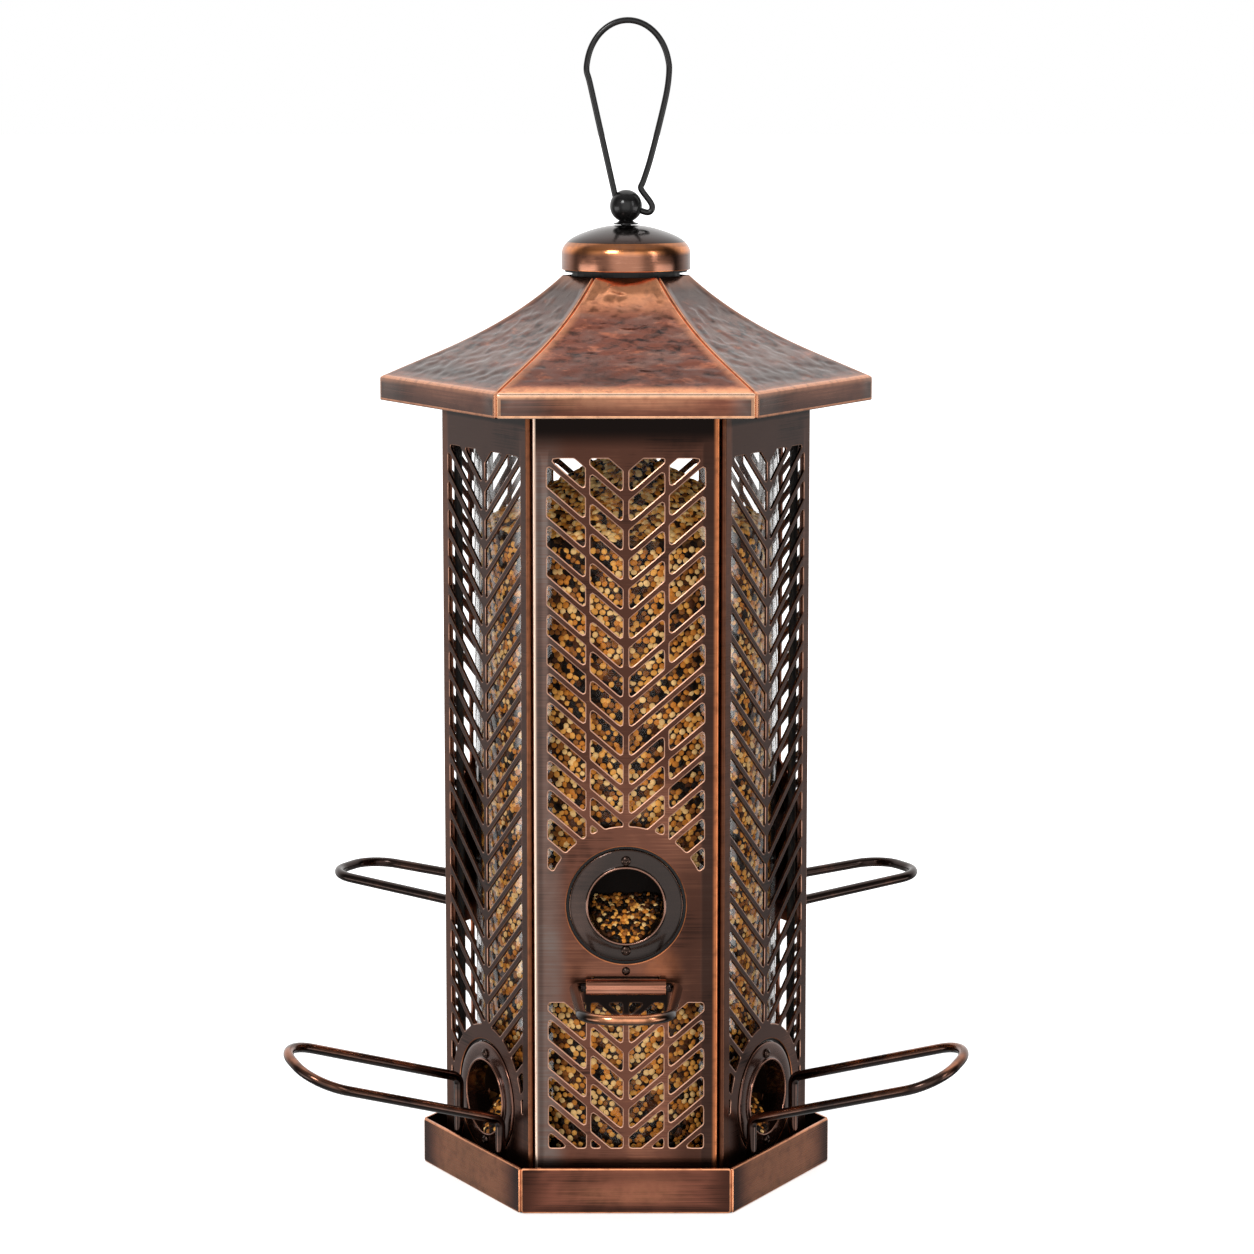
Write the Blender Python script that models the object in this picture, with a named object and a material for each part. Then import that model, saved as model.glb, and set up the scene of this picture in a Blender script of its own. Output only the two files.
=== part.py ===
# Lantern bird feeder: six pierced sheet panels round a clear seed tube, on a
# folded six-sided tray, under a six-sector roof with a lift-off cap and a wire
# hanger. Units are metres, +Z is up and the front face looks along -Y. The
# origin is the centre of the underside of the tray, where the feeder stands.
import math

import bpy
import bmesh
from mathutils import Matrix, Vector
from mathutils.geometry import delaunay_2d_cdt

MM = 0.001
C30 = math.cos(math.radians(30))
T30 = math.tan(math.radians(30))

# ---------------------------------------------------------------- dimensions
# All in millimetres.
GAP = 0.3                     # running gap between neighbouring pieces
ROUND_SIDES = 30              # facets of the tube and what fits it: one faces each panel
PORT_SIDES = 20
SCREW_START = math.radians(22.5)

BODY_CORNER_R = 71.0          # centre to corner of the six-sided body
BODY_APOTHEM = BODY_CORNER_R * C30
SHEET = 0.9                   # panel and roof sheet
PANEL_BEND_R = 1.1            # outer radius of the folded edge
PANEL_FLAT_HALF = 33.07       # half width of the flat between the two folds
PANEL_FLANGE = 2.5            # length of the returned flange
PANEL_Z = (1.6, 302.2)

LATTICE_HALF = 28.9           # half width of the pierced field
LATTICE_Z = (23.2, 282.5)
LATTICE_PITCH = 10.9
LATTICE_ANGLE = math.radians(41)
LATTICE_BAR = 2.15
LATTICE_RIB = 2.4             # width of the centre rib
LATTICE_FIRST_NODE = 278.4

UPPER_PORT_Z = 116.0          # front port
BACK_PORT_Z = 130.2           # the two upper ports at the back sit higher
LOWER_PORT_Z = 34.5
PANEL_HOLE_R = 22.3
UPPER_SOLID_R = 30.0          # unpierced disc round an upper port
LOWER_SOLID_R = 28.0
HINGE_BAND = 37.0             # unpierced depth under an upper port's centre

INSERT_FLANGE_R = 21.1
INSERT_SLEEVE_R = 15.0
INSERT_BORE_R = 14.1
INSERT_LIP_R = 14.9
INSERT_FACE = BODY_APOTHEM + 0.3
INSERT_LIP = BODY_APOTHEM + 1.4
INSERT_BACK = BODY_APOTHEM - 1.3
SLEEVE_END = 53.5
HOOD_END = 40.8
HOOD_WALL = 1.2
HOOD_R = 14.8
HOOD_SIDE = 0.9
HOOD_DIP = 0.14               # how far past its middle the hood reaches, in radians
PORT_SCREW_OFFSET = 17.0
PORT_SCREW_HEAD_R = 1.85
PORT_SCREW_R = 0.95
SCREW_HOLE_R = 1.25

TUBE_R = 58.0
TUBE_WALL = 1.7
TUBE_Z = (1.6, 302.2)
TUBE_SPLIT_Z = 160.0          # the tube is held as two lengths that meet here
TUBE_PORT_R = 15.3
SEED_PEAK_Z = 281.0           # the heap of seed, in the middle and at the tube's wall
SEED_EDGE_Z = 251.0

HINGE_OUT = 3.35              # barrel axis in front of the panel face
HINGE_DROP = 30.2             # barrel axis below the port centre
BARREL_R = 2.9
BARREL_BORE_R = 2.25
BARREL_HALF = 14.9
HINGE_LEAF_HALF = 12.0
RIVET_DROP = 24.9             # rivet below the port centre
RIVET_HOLE_R = 1.15

PERCH_WIRE_R = 1.9
PERCH_REACH = 67.95           # wire centre of the front bar, from the panel face
PERCH_ROOT_HALF = 19.3
PERCH_TIP_HALF = 15.4
PERCH_TIP_BEND = 12.9         # bend radius at the round end of an upper perch
PERCH_RISE = 0.063            # slope of an upper perch at rest
LOWER_PERCH_REACH = 80.9
LOWER_PERCH_HALF = 17.0
LOWER_PERCH_TIP_BEND = 15.5
LOWER_PERCH_FOOT = 3.2
LOWER_PERCH_BEND_Z = 34.4
LOWER_PERCH_TIP_Z = 58.7
LOWER_PERCH_TILT = {1: 0.25, 3: 0.0, 5: -0.25}  # sideways slope: the leg towards the back is higher

TRAY_CORNER_R = 79.36
TRAY_H = 17.3
TRAY_FLOOR = 1.2
TRAY_WALL = 1.0
TRAY_SEAM = 1.0
SOCKET_R = 2.85               # sockets on the tray floor for the lower perches
SOCKET_TOP = 11.5
DRAIN_R = 1.6

POST_RADIUS_AT = 64.0
POST_R = 1.6

ROOF_TOP_R = 23.1             # corner radius where the roof curve starts
ROOF_EDGE_R = 93.9
ROOF_TOP_Z = 347.3
ROOF_EDGE_Z = 307.6
FASCIA_Z = 298.8
ROOF_SEAM = 0.45              # half the gap between two roof sectors
ROOF_SHEET_START = 21.2       # apothem of the sheets' upper edge

NECK_R = 20.4
NECK_BORE_R = 18.6
NECK_Z = 354.2
PLATE_Z = (302.5, 304.3)
SKIRT_R = (58.4, 60.2)
SKIRT_Z = 290.0

LINER_BOTTOM = 347.45         # the liner's rim shows as a dark line under the cap
CAP_R = 24.4
CAP_BOTTOM = 348.3
CAP_SEAT_Z = 364.9
CAP_SHEET = 0.9

BALL_R = 6.1
BALL_Z = 372.1
BALL_BORE_R = 2.2
STEM_R = 1.9
WIRE_HOLE_R = 1.45
HANGER_WIRE_R = 1.15
LOOP_X = 0.7                  # middle of the loop's round top, from the ball's axis
LOOP_HALF = 15.5
LOOP_WIDEST = 50.5            # height of its widest place above the ball's centre
LOOP_TOP = 69.2               # wire centre at the top, above the ball's centre

# The six faces, counted from the front towards the right.
FACES = ("front", "front_right", "back_right", "back", "back_left", "front_left")
UPPER = {0: UPPER_PORT_Z, 2: BACK_PORT_Z, 4: BACK_PORT_Z}
LOWER = {1: LOWER_PORT_Z, 3: LOWER_PORT_Z, 5: LOWER_PORT_Z}


# ------------------------------------------------------------------- scene
for old in list(bpy.data.objects):
    bpy.data.objects.remove(old, do_unlink=True)


def material(name, rgb, metallic, roughness, alpha=1.0):
    mat = bpy.data.materials.new(name)
    mat.use_nodes = True
    shader = mat.node_tree.nodes["Principled BSDF"]
    shader.inputs["Base Color"].default_value = (*rgb, 1.0)
    shader.inputs["Metallic"].default_value = metallic
    shader.inputs["Roughness"].default_value = roughness
    shader.inputs["Alpha"].default_value = alpha
    mat.diffuse_color = (*rgb, alpha)
    return mat


COPPER = material("antique_copper_sheet", (0.28, 0.12, 0.07), 1.0, 0.34)
HAMMERED = material("hammered_copper", (0.30, 0.14, 0.085), 1.0, 0.3)
TRAY_COPPER = material("tray_copper", (0.27, 0.11, 0.065), 1.0, 0.33)
CAP_COPPER = material("polished_copper", (0.42, 0.17, 0.09), 1.0, 0.22)
BRONZE = material("bronze_wire", (0.14, 0.065, 0.045), 1.0, 0.28)
BARREL = material("hinge_copper", (0.42, 0.19, 0.12), 1.0, 0.3)
GUNMETAL = material("gunmetal", (0.055, 0.05, 0.05), 0.9, 0.28)
FIXING = material("dark_fixing", (0.05, 0.04, 0.04), 1.0, 0.25)
BLACK = material("black_enamel", (0.012, 0.012, 0.013), 0.0, 0.22)
BLACK_PLASTIC = material("black_plastic", (0.015, 0.015, 0.016), 0.0, 0.45)
CLEAR = material("clear_plastic", (0.92, 0.94, 0.95), 0.0, 0.05, 0.25)
SEED = material("seed", (0.55, 0.36, 0.12), 0.0, 0.6)


# ----------------------------------------------------------------- helpers
def add_object(name, points, faces, mat, location=(0, 0, 0), turn=0.0, smooth=32):
    """A mesh object from points in millimetres, turned about Z and placed."""
    mesh = bpy.data.meshes.new(name)
    mesh.from_pydata([Vector(p) * MM for p in points], [], faces)
    bm = bmesh.new()
    bm.from_mesh(mesh)
    bmesh.ops.recalc_face_normals(bm, faces=bm.faces)
    bm.to_mesh(mesh)
    bm.free()
    mesh.materials.append(mat)
    if smooth:
        mesh.shade_smooth()
        mesh.set_sharp_from_angle(angle=math.radians(smooth))
    obj = bpy.data.objects.new(name, mesh)
    obj.rotation_euler = (0, 0, turn)
    obj.location = Matrix.Rotation(turn, 3, "Z") @ (Vector(location) * MM)
    bpy.context.scene.collection.objects.link(obj)
    return obj


def helper(obj):
    obj.hide_render = True
    obj.display_type = "WIRE"
    return obj


def boolean(obj, other, operation):
    cut = obj.modifiers.new(operation.lower(), "BOOLEAN")
    cut.operation = operation
    cut.solver = "EXACT"
    cut.object = other


def turned(profile, segments, axis="Z", start=0.0):
    """Points and faces of a profile of (radius, height) pairs turned about an
    axis. A profile that starts and ends on the axis closes there; any other
    is a closed loop. For axis Y the height runs along Y."""
    points, rings = [], []
    for radius, height in profile:
        if radius < 1e-9:
            rings.append([len(points)])
            points.append((0.0, 0.0, height))
            continue
        rings.append([])
        for i in range(segments):
            a = start + 2 * math.pi * i / segments
            rings[-1].append(len(points))
            points.append((radius * math.cos(a), radius * math.sin(a), height))
    if axis == "Y":
        points = [(x, h, y) for x, y, h in points]
    closed = not (profile[0][0] < 1e-9 and profile[-1][0] < 1e-9)
    faces = []
    for k in range(len(rings) if closed else len(rings) - 1):
        low, high = rings[k], rings[(k + 1) % len(rings)]
        for i in range(segments):
            j = (i + 1) % segments
            if len(low) == 1:
                faces.append((low[0], high[i], high[j]))
            elif len(high) == 1:
                faces.append((low[i], low[j], high[0]))
            else:
                faces.append((low[i], low[j], high[j], high[i]))
    return points, faces


def hexagon_turned(profile):
    """As turned, with six sides: each radius is an apothem, and one flat side
    faces -Y."""
    return turned([(r / C30, z) for r, z in profile], 6, start=0.0)


def circle(radius, segments, cx=0.0, cz=0.0, start=0.0):
    return [
        (
            cx + radius * math.cos(start + 2 * math.pi * i / segments),
            cz + radius * math.sin(start + 2 * math.pi * i / segments),
        )
        for i in range(segments)
    ]


def inside(point, loop):
    x, y = point
    hit = False
    for (x1, y1), (x2, y2) in zip(loop, loop[1:] + loop[:1]):
        if (y1 > y) != (y2 > y) and x < (x2 - x1) * (y - y1) / (y2 - y1) + x1:
            hit = not hit
    return hit


def triangulated(outline, holes):
    """Points and triangles of a flat outline with holes in it."""
    coords, edges = [], []
    for loop in [outline] + holes:
        first = len(coords)
        coords += [Vector(p) for p in loop]
        edges += [(first + i, first + (i + 1) % len(loop)) for i in range(len(loop))]
    found = delaunay_2d_cdt(coords, edges, [], 1, 1e-5)
    points = [tuple(p) for p in found[0]]
    triangles = []
    for tri in found[2]:
        centre = (
            sum(points[i][0] for i in tri) / 3,
            sum(points[i][1] for i in tri) / 3,
        )
        if inside(centre, outline) and not any(inside(centre, h) for h in holes):
            triangles.append(tuple(tri))
    return points, triangles


def boundary(triangles):
    """The directed edges that only one triangle has."""
    edges = {}
    for tri in triangles:
        for a, b in zip(tri, tri[1:] + tri[:1]):
            edges[(a, b)] = True
    return [(a, b) for a, b in edges if (b, a) not in edges]


def slab(outline, holes, low, high, place):
    """A flat outline with holes given thickness. place(u, v, w) puts a point
    of the flat shape, at depth w, in space."""
    flat, triangles = triangulated(outline, holes)
    count = len(flat)
    points = [place(u, v, low) for u, v in flat] + [place(u, v, high) for u, v in flat]
    faces = list(triangles)
    faces += [tuple(i + count for i in reversed(tri)) for tri in triangles]
    faces += [(b, a, a + count, b + count) for a, b in boundary(triangles)]
    return points, faces


def flat_z(u, v, w):
    return (u, v, w)


def rounded_path(corners, radii, steps):
    """A polyline whose corners are replaced by arcs. radii and steps have one
    value for each inner corner."""
    corners = [Vector(c) for c in corners]
    path = [corners[0]]
    for i in range(1, len(corners) - 1):
        before, here, after = corners[i - 1], corners[i], corners[i + 1]
        a = (before - here).normalized()
        b = (after - here).normalized()
        half = a.angle(b) / 2
        reach = radii[i - 1] / math.tan(half)
        centre = here + (a + b).normalized() * radii[i - 1] / math.sin(half)
        start = here + a * reach - centre
        sweep = math.pi - 2 * half
        axis = start.cross(here + b * reach - centre).normalized()
        for k in range(steps[i - 1] + 1):
            path.append(
                centre
                + Matrix.Rotation(sweep * k / steps[i - 1], 3, axis) @ start
            )
    path.append(corners[-1])
    return path


def wire(name, path, radius, mat, location=(0, 0, 0), turn=0.0):
    """A round wire along a path, with closed ends and eight sides."""
    curve = bpy.data.curves.new(name, "CURVE")
    curve.dimensions = "3D"
    curve.bevel_depth = radius * MM
    curve.bevel_resolution = 2
    curve.use_fill_caps = True
    curve.twist_mode = "MINIMUM"
    spline = curve.splines.new("POLY")
    spline.points.add(len(path) - 1)
    for point, at in zip(spline.points, path):
        point.co = (*(Vector(at) * MM), 1.0)
    curve.materials.append(mat)
    obj = bpy.data.objects.new(name, curve)
    obj.rotation_euler = (0, 0, turn)
    obj.location = Matrix.Rotation(turn, 3, "Z") @ (Vector(location) * MM)
    bpy.context.scene.collection.objects.link(obj)
    return obj


# ----------------------------------------------------------------- lattice
def clipped(loop, a, b, c):
    """The part of a convex loop where a*x + b*y <= c."""
    kept = []
    for p, q in zip(loop, loop[1:] + loop[:1]):
        dp, dq = a * p[0] + b * p[1] - c, a * q[0] + b * q[1] - c
        if dp <= 0:
            kept.append(p)
        if (dp < 0 < dq) or (dq < 0 < dp):
            t = dp / (dp - dq)
            kept.append((p[0] + t * (q[0] - p[0]), p[1] + t * (q[1] - p[1])))
    return kept


def outside_disc(loop, cz, radius, step=math.radians(9)):
    """A convex loop with the disc at (0, cz) taken out of it."""
    def distance(p):
        return math.hypot(p[0], p[1] - cz) - radius

    if all(distance(p) >= 0 for p in loop):
        closest = min(
            abs(
                (q[0] - p[0]) * (p[1] - cz) - (q[1] - p[1]) * p[0]
            ) / max(1e-9, math.hypot(q[0] - p[0], q[1] - p[1]))
            for p, q in zip(loop, loop[1:] + loop[:1])
        )
        if closest >= radius:
            return loop
    dense = []
    for p, q in zip(loop, loop[1:] + loop[:1]):
        count = 24
        for k in range(count):
            dense.append(
                (p[0] + (q[0] - p[0]) * k / count, p[1] + (q[1] - p[1]) * k / count, k == 0)
            )
    out = [d for d in dense if distance(d) >= 0]
    if not out:
        return []
    if len(out) == len(dense):
        return loop
    start = next(
        i
        for i in range(len(dense))
        if distance(dense[i]) < 0 <= distance(dense[(i + 1) % len(dense)])
    )
    walk = [dense[(start + 1 + i) % len(dense)] for i in range(len(dense))]

    def crossing(inner, outer):
        low, high = 0.0, 1.0
        for _ in range(30):
            mid = (low + high) / 2
            p = (
                inner[0] + (outer[0] - inner[0]) * mid,
                inner[1] + (outer[1] - inner[1]) * mid,
            )
            if distance(p) < 0:
                low = mid
            else:
                high = mid
        return p

    kept = [crossing(dense[start], walk[0])]
    for i, p in enumerate(walk):
        if distance(p) < 0:
            end = crossing(p, walk[i - 1])
            break
        if p[2]:
            kept.append((p[0], p[1]))
    kept.append(end)
    a0 = math.atan2(end[1] - cz, end[0])
    a1 = math.atan2(kept[0][1] - cz, kept[0][0])
    sweep = (a1 - a0 + math.pi) % (2 * math.pi) - math.pi
    count = max(1, int(abs(sweep) / step))
    for k in range(1, count):
        a = a0 + sweep * k / count
        kept.append((radius * math.cos(a), cz + radius * math.sin(a)))
    return kept


def area(loop):
    return abs(
        sum(
            p[0] * q[1] - q[0] * p[1]
            for p, q in zip(loop, loop[1:] + loop[:1])
        )
    ) / 2


def tidy(loop, closest=0.25):
    """The loop without points that lie almost on the one before."""
    kept = []
    for p in loop:
        if not kept or math.hypot(p[0] - kept[-1][0], p[1] - kept[-1][1]) > closest:
            kept.append(p)
    if len(kept) > 1 and math.hypot(kept[0][0] - kept[-1][0], kept[0][1] - kept[-1][1]) <= closest:
        kept.pop()
    return kept


def lattice(upper_z=None, lower_z=None):
    """The openings of the chevron lattice on a panel: bars rise outward from a
    centre rib, and stop round the port and behind the perch hinge."""
    slope = math.tan(LATTICE_ANGLE)
    bar = LATTICE_BAR / math.cos(LATTICE_ANGLE) / 2
    x0, x1 = LATTICE_RIB / 2, LATTICE_HALF
    openings = []
    node = LATTICE_FIRST_NODE + 3 * LATTICE_PITCH
    while node > LATTICE_Z[0] - 4 * LATTICE_PITCH:
        node -= LATTICE_PITCH
        low, high = node + bar, node + LATTICE_PITCH - bar
        cell = [
            (x0, low + x0 * slope),
            (x1, low + x1 * slope),
            (x1, high + x1 * slope),
            (x0, high + x0 * slope),
        ]
        cell = clipped(cell, 0, 1, LATTICE_Z[1])
        cell = clipped(cell, 0, -1, -LATTICE_Z[0]) if cell else cell
        pieces = []
        if len(cell) < 3:
            continue
        if upper_z is not None:
            pieces.append(clipped(cell, 0, 1, upper_z - HINGE_BAND))
            above = clipped(cell, 0, -1, -upper_z)
            if len(above) > 2:
                pieces.append(outside_disc(above, upper_z, UPPER_SOLID_R))
        else:
            above = clipped(cell, 0, -1, -lower_z)
            if len(above) > 2:
                pieces.append(outside_disc(above, lower_z, LOWER_SOLID_R))
        for piece in pieces:
            piece = tidy(piece)
            if len(piece) > 2 and area(piece) > 6:
                openings.append(piece)
                openings.append([(-x, z) for x, z in reversed(piece)])
    return openings


# -------------------------------------------------------------- side panels
def side_panel(k):
    """One pierced panel. Its two long edges fold in and back, so that the
    flanges of two neighbours stand side by side along the corner."""
    port_z = UPPER.get(k) or LOWER[k]
    holes = [circle(PANEL_HOLE_R, 28, 0, port_z)]
    if k in UPPER:
        holes += lattice(upper_z=port_z)
        barrel_z = port_z - HINGE_DROP
        top = barrel_z + BARREL_R
        holes.append(
            [
                (-HINGE_LEAF_HALF - 0.5, top - 1.0),
                (HINGE_LEAF_HALF + 0.5, top - 1.0),
                (HINGE_LEAF_HALF + 0.5, top + 0.4),
                (-HINGE_LEAF_HALF - 0.5, top + 0.4),
            ]
        )
        holes.append(circle(RIVET_HOLE_R, 8, 0, port_z - RIVET_DROP))
    else:
        holes += lattice(lower_z=port_z)
    x1, (z0, z1) = PANEL_FLAT_HALF, PANEL_Z
    outline = [(-x1, z0), (x1, z0), (x1, z1), (-x1, z1)]
    flat, triangles = triangulated(outline, holes)
    count = len(flat)
    front, back = -BODY_APOTHEM, -BODY_APOTHEM + SHEET
    points = [(x, front, z) for x, z in flat] + [(x, back, z) for x, z in flat]
    faces = [tuple(t) for t in triangles]
    faces += [tuple(i + count for i in reversed(t)) for t in triangles]
    for a, b in boundary(triangles):
        if abs(flat[a][0]) > x1 - 1e-4 and abs(flat[b][0]) > x1 - 1e-4 and flat[a][0] * flat[b][0] > 0:
            continue
        faces.append((b, a, a + count, b + count))
    corner = {}
    for i, (x, z) in enumerate(flat):
        for sx in (-1, 1):
            for end, zz in enumerate((z0, z1)):
                if abs(x - sx * x1) < 1e-4 and abs(z - zz) < 1e-4:
                    corner[sx, end] = i
    bend = [math.radians(-90 + 120 * n / 4) for n in range(1, 5)]
    for sx in (-1, 1):
        rows = []
        for radius, shift in ((PANEL_BEND_R, 0), (PANEL_BEND_R - SHEET, count)):
            row = [tuple(corner[sx, end] + shift for end in (0, 1))]
            section = [
                (x1 + radius * math.cos(a), front + PANEL_BEND_R + radius * math.sin(a))
                for a in bend
            ]
            last = section[-1]
            section.append(
                (last[0] - PANEL_FLANGE * 0.5, last[1] + PANEL_FLANGE * C30)
            )
            for x, y in section:
                first = len(points)
                points += [(sx * x, y, z0), (sx * x, y, z1)]
                row.append((first, first + 1))
            rows.append(row)
        for row in rows:
            for p, q in zip(row, row[1:]):
                faces.append((p[0], q[0], q[1], p[1]))
        outer, inner = rows
        faces.append((outer[-1][0], inner[-1][0], inner[-1][1], outer[-1][1]))
        for end in (0, 1):
            for p, q, r, s in zip(outer, outer[1:], inner, inner[1:]):
                faces.append((p[end], q[end], s[end], r[end]))
    return add_object(
        "side_panel_" + FACES[k], points, faces, COPPER, turn=math.radians(60 * k), smooth=40
    )


# -------------------------------------------------------------------- ports
def port(k):
    z = UPPER.get(k) or LOWER[k]
    turn = math.radians(60 * k)
    body = [
        (INSERT_BORE_R, -INSERT_LIP),
        (INSERT_LIP_R, -INSERT_LIP),
        (INSERT_LIP_R, -INSERT_FACE),
        (INSERT_FLANGE_R, -INSERT_FACE),
        (INSERT_FLANGE_R, -INSERT_BACK),
        (INSERT_SLEEVE_R, -INSERT_BACK),
        (INSERT_SLEEVE_R, -SLEEVE_END),
        (INSERT_BORE_R, -SLEEVE_END),
    ]
    insert = add_object(
        "port_insert_" + FACES[k], *turned(body, PORT_SIDES, "Y"), GUNMETAL, (0, 0, z), turn, 40
    )

    def arch(radius, dip, steps):
        return [
            (
                radius * math.cos(-dip + (math.pi + 2 * dip) * i / steps),
                radius * math.sin(-dip + (math.pi + 2 * dip) * i / steps),
            )
            for i in range(steps + 1)
        ]

    hood = helper(
        add_object(
            "hood_form_" + FACES[k],
            *slab(arch(HOOD_R, HOOD_DIP, 12), [], -SLEEVE_END - 1.4, -HOOD_END, lambda u, v, w: (u, w, v)),
            GUNMETAL, (0, 0, z), turn, 0,
        )
    )
    hollow = helper(
        add_object(
            "hollow_form_" + FACES[k],
            *slab(arch(HOOD_R - HOOD_SIDE, 0.45, 12), [], -60, -HOOD_END - HOOD_WALL, lambda u, v, w: (u, w, v)),
            GUNMETAL, (0, 0, z), turn, 0,
        )
    )
    boolean(hood, hollow, "DIFFERENCE")
    boolean(insert, hood, "UNION")
    for side, word in ((1, "top"), (-1, "bottom")):
        at = (0, 0, z + side * PORT_SCREW_OFFSET)
        hole = helper(
            add_object(
                "screw_form_" + word + "_" + FACES[k],
                *turned([(0, -70), (SCREW_HOLE_R, -70), (SCREW_HOLE_R, -50), (0, -50)], 8, "Y", SCREW_START),
                FIXING, at, turn, 0,
            )
        )
        boolean(insert, hole, "DIFFERENCE")
        SCREW_FORMS.append(hole)
        head = -INSERT_FACE - 0.25
        profile = [
            (0, head - 1.2),
            (1.5, head - 1.0),
            (PORT_SCREW_HEAD_R, head),
            (PORT_SCREW_R, head),
            (PORT_SCREW_R, -55.3),
            (0, -55.3),
        ]
        add_object(
            "port_screw_" + word + "_" + FACES[k], *turned(profile, 8, "Y", SCREW_START), FIXING, at, turn, 35
        )
    pocket_r = INSERT_SLEEVE_R + 0.6
    pocket = [
        (pocket_r * math.cos(math.pi * i / 10), pocket_r * math.sin(math.pi * i / 10))
        for i in range(11)
    ]
    pocket += [(-pocket_r, -pocket_r - 4), (pocket_r, -pocket_r - 4)] if k in LOWER else [
        (pocket_r * math.cos(math.pi + math.pi * i / 10), pocket_r * math.sin(math.pi + math.pi * i / 10))
        for i in range(1, 10)
    ]
    POCKET_FORMS.append(
        helper(
            add_object(
                "pocket_form_" + FACES[k],
                *slab(pocket, [], -64, -HOOD_END + 0.6, lambda u, v, w: (u, w, v)),
                SEED, (0, 0, z), turn, 0,
            )
        )
    )
    TUBE_FORMS.append(
        helper(
            add_object(
                "tube_form_" + FACES[k],
                *turned([(0, -64), (TUBE_PORT_R, -64), (TUBE_PORT_R, -50), (0, -50)], PORT_SIDES, "Y"),
                CLEAR, (0, 0, z), turn, 0,
            )
        )
    )


# ------------------------------------------------------------------ perches
def upper_perch(k):
    z = UPPER[k] - HINGE_DROP
    turn = math.radians(60 * k)
    axis_y = -BODY_APOTHEM - HINGE_OUT
    reach = PERCH_REACH - HINGE_OUT
    corners = [
        (-2.5, 0, 0),
        (-PERCH_ROOT_HALF, 0, 0),
        (-PERCH_TIP_HALF, -reach, reach * PERCH_RISE),
        (PERCH_TIP_HALF, -reach, reach * PERCH_RISE),
        (PERCH_ROOT_HALF, 0, 0),
        (2.5, 0, 0),
    ]
    path = rounded_path(corners, (3.4, PERCH_TIP_BEND, PERCH_TIP_BEND, 3.4), (3, 6, 6, 3))
    wire("perch_" + FACES[k], path, PERCH_WIRE_R, BRONZE, (0, axis_y, z), turn)

    # Rolled barrel, with a leaf that passes in through a slot above it and lies
    # against the inside of the panel, under the rivet.
    barrel, faces = turned(
        [(BARREL_R, -BARREL_HALF), (BARREL_R, BARREL_HALF), (BARREL_BORE_R, BARREL_HALF), (BARREL_BORE_R, -BARREL_HALF)],
        14,
    )
    barrel = [(h, x, y) for x, y, h in barrel]
    hinge = add_object("perch_hinge_" + FACES[k], barrel, faces, BARREL, (0, axis_y, z), turn, 40)
    top, inner = BARREL_R, axis_y
    leaf_out = -BODY_APOTHEM + SHEET + GAP - inner
    section = [
        (0.4, top - 0.1),
        (0.4, top - 0.55),
        (leaf_out + 0.8, top - 0.55),
        (leaf_out + 0.8, top + 5.2),
        (leaf_out, top + 5.2),
        (leaf_out, top - 0.1),
    ]
    leaf = helper(
        add_object(
            "leaf_form_" + FACES[k],
            *slab(section, [], -HINGE_LEAF_HALF, HINGE_LEAF_HALF, lambda u, v, w: (w, u, v)),
            BARREL, (0, axis_y, z), turn, 0,
        )
    )
    boolean(hinge, leaf, "UNION")
    rivet_z = UPPER[k] - RIVET_DROP
    eye = helper(
        add_object(
            "eye_form_" + FACES[k],
            *turned([(0, -64), (RIVET_HOLE_R, -64), (RIVET_HOLE_R, -56), (0, -56)], 8, "Y"),
            BARREL, (0, 0, rivet_z), turn, 0,
        )
    )
    boolean(hinge, eye, "DIFFERENCE")
    leaf_back = BODY_APOTHEM - SHEET - GAP - 0.8
    profile = [
        (0, -BODY_APOTHEM - 1.15),
        (1.0, -BODY_APOTHEM - 0.95),
        (1.55, -BODY_APOTHEM - 0.25),
        (0.8, -BODY_APOTHEM - 0.25),
        (0.8, -leaf_back + 0.25),
        (1.3, -leaf_back + 0.25),
        (1.3, -leaf_back + 0.7),
        (0, -leaf_back + 0.7),
    ]
    add_object("hinge_rivet_" + FACES[k], *turned(profile, 8, "Y"), FIXING, (0, 0, rivet_z), turn, 35)


def lower_perch(k):
    turn = math.radians(60 * k)
    face = -BODY_APOTHEM
    half, foot = LOWER_PERCH_HALF, LOWER_PERCH_FOOT
    tilt = half * LOWER_PERCH_TILT[k]
    corners = [
        (-half, -foot, TRAY_FLOOR + 0.3),
        (-half, -foot, LOWER_PERCH_BEND_Z - tilt),
        (-half, -LOWER_PERCH_REACH, LOWER_PERCH_TIP_Z - tilt),
        (half, -LOWER_PERCH_REACH, LOWER_PERCH_TIP_Z + tilt),
        (half, -foot, LOWER_PERCH_BEND_Z + tilt),
        (half, -foot, TRAY_FLOOR + 0.3),
    ]
    bend = LOWER_PERCH_TIP_BEND
    path = rounded_path(corners, (4.0, bend, bend, 4.0), (3, 6, 6, 3))
    wire("perch_" + FACES[k], path, PERCH_WIRE_R, BRONZE, (0, face, 0), turn)


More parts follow.
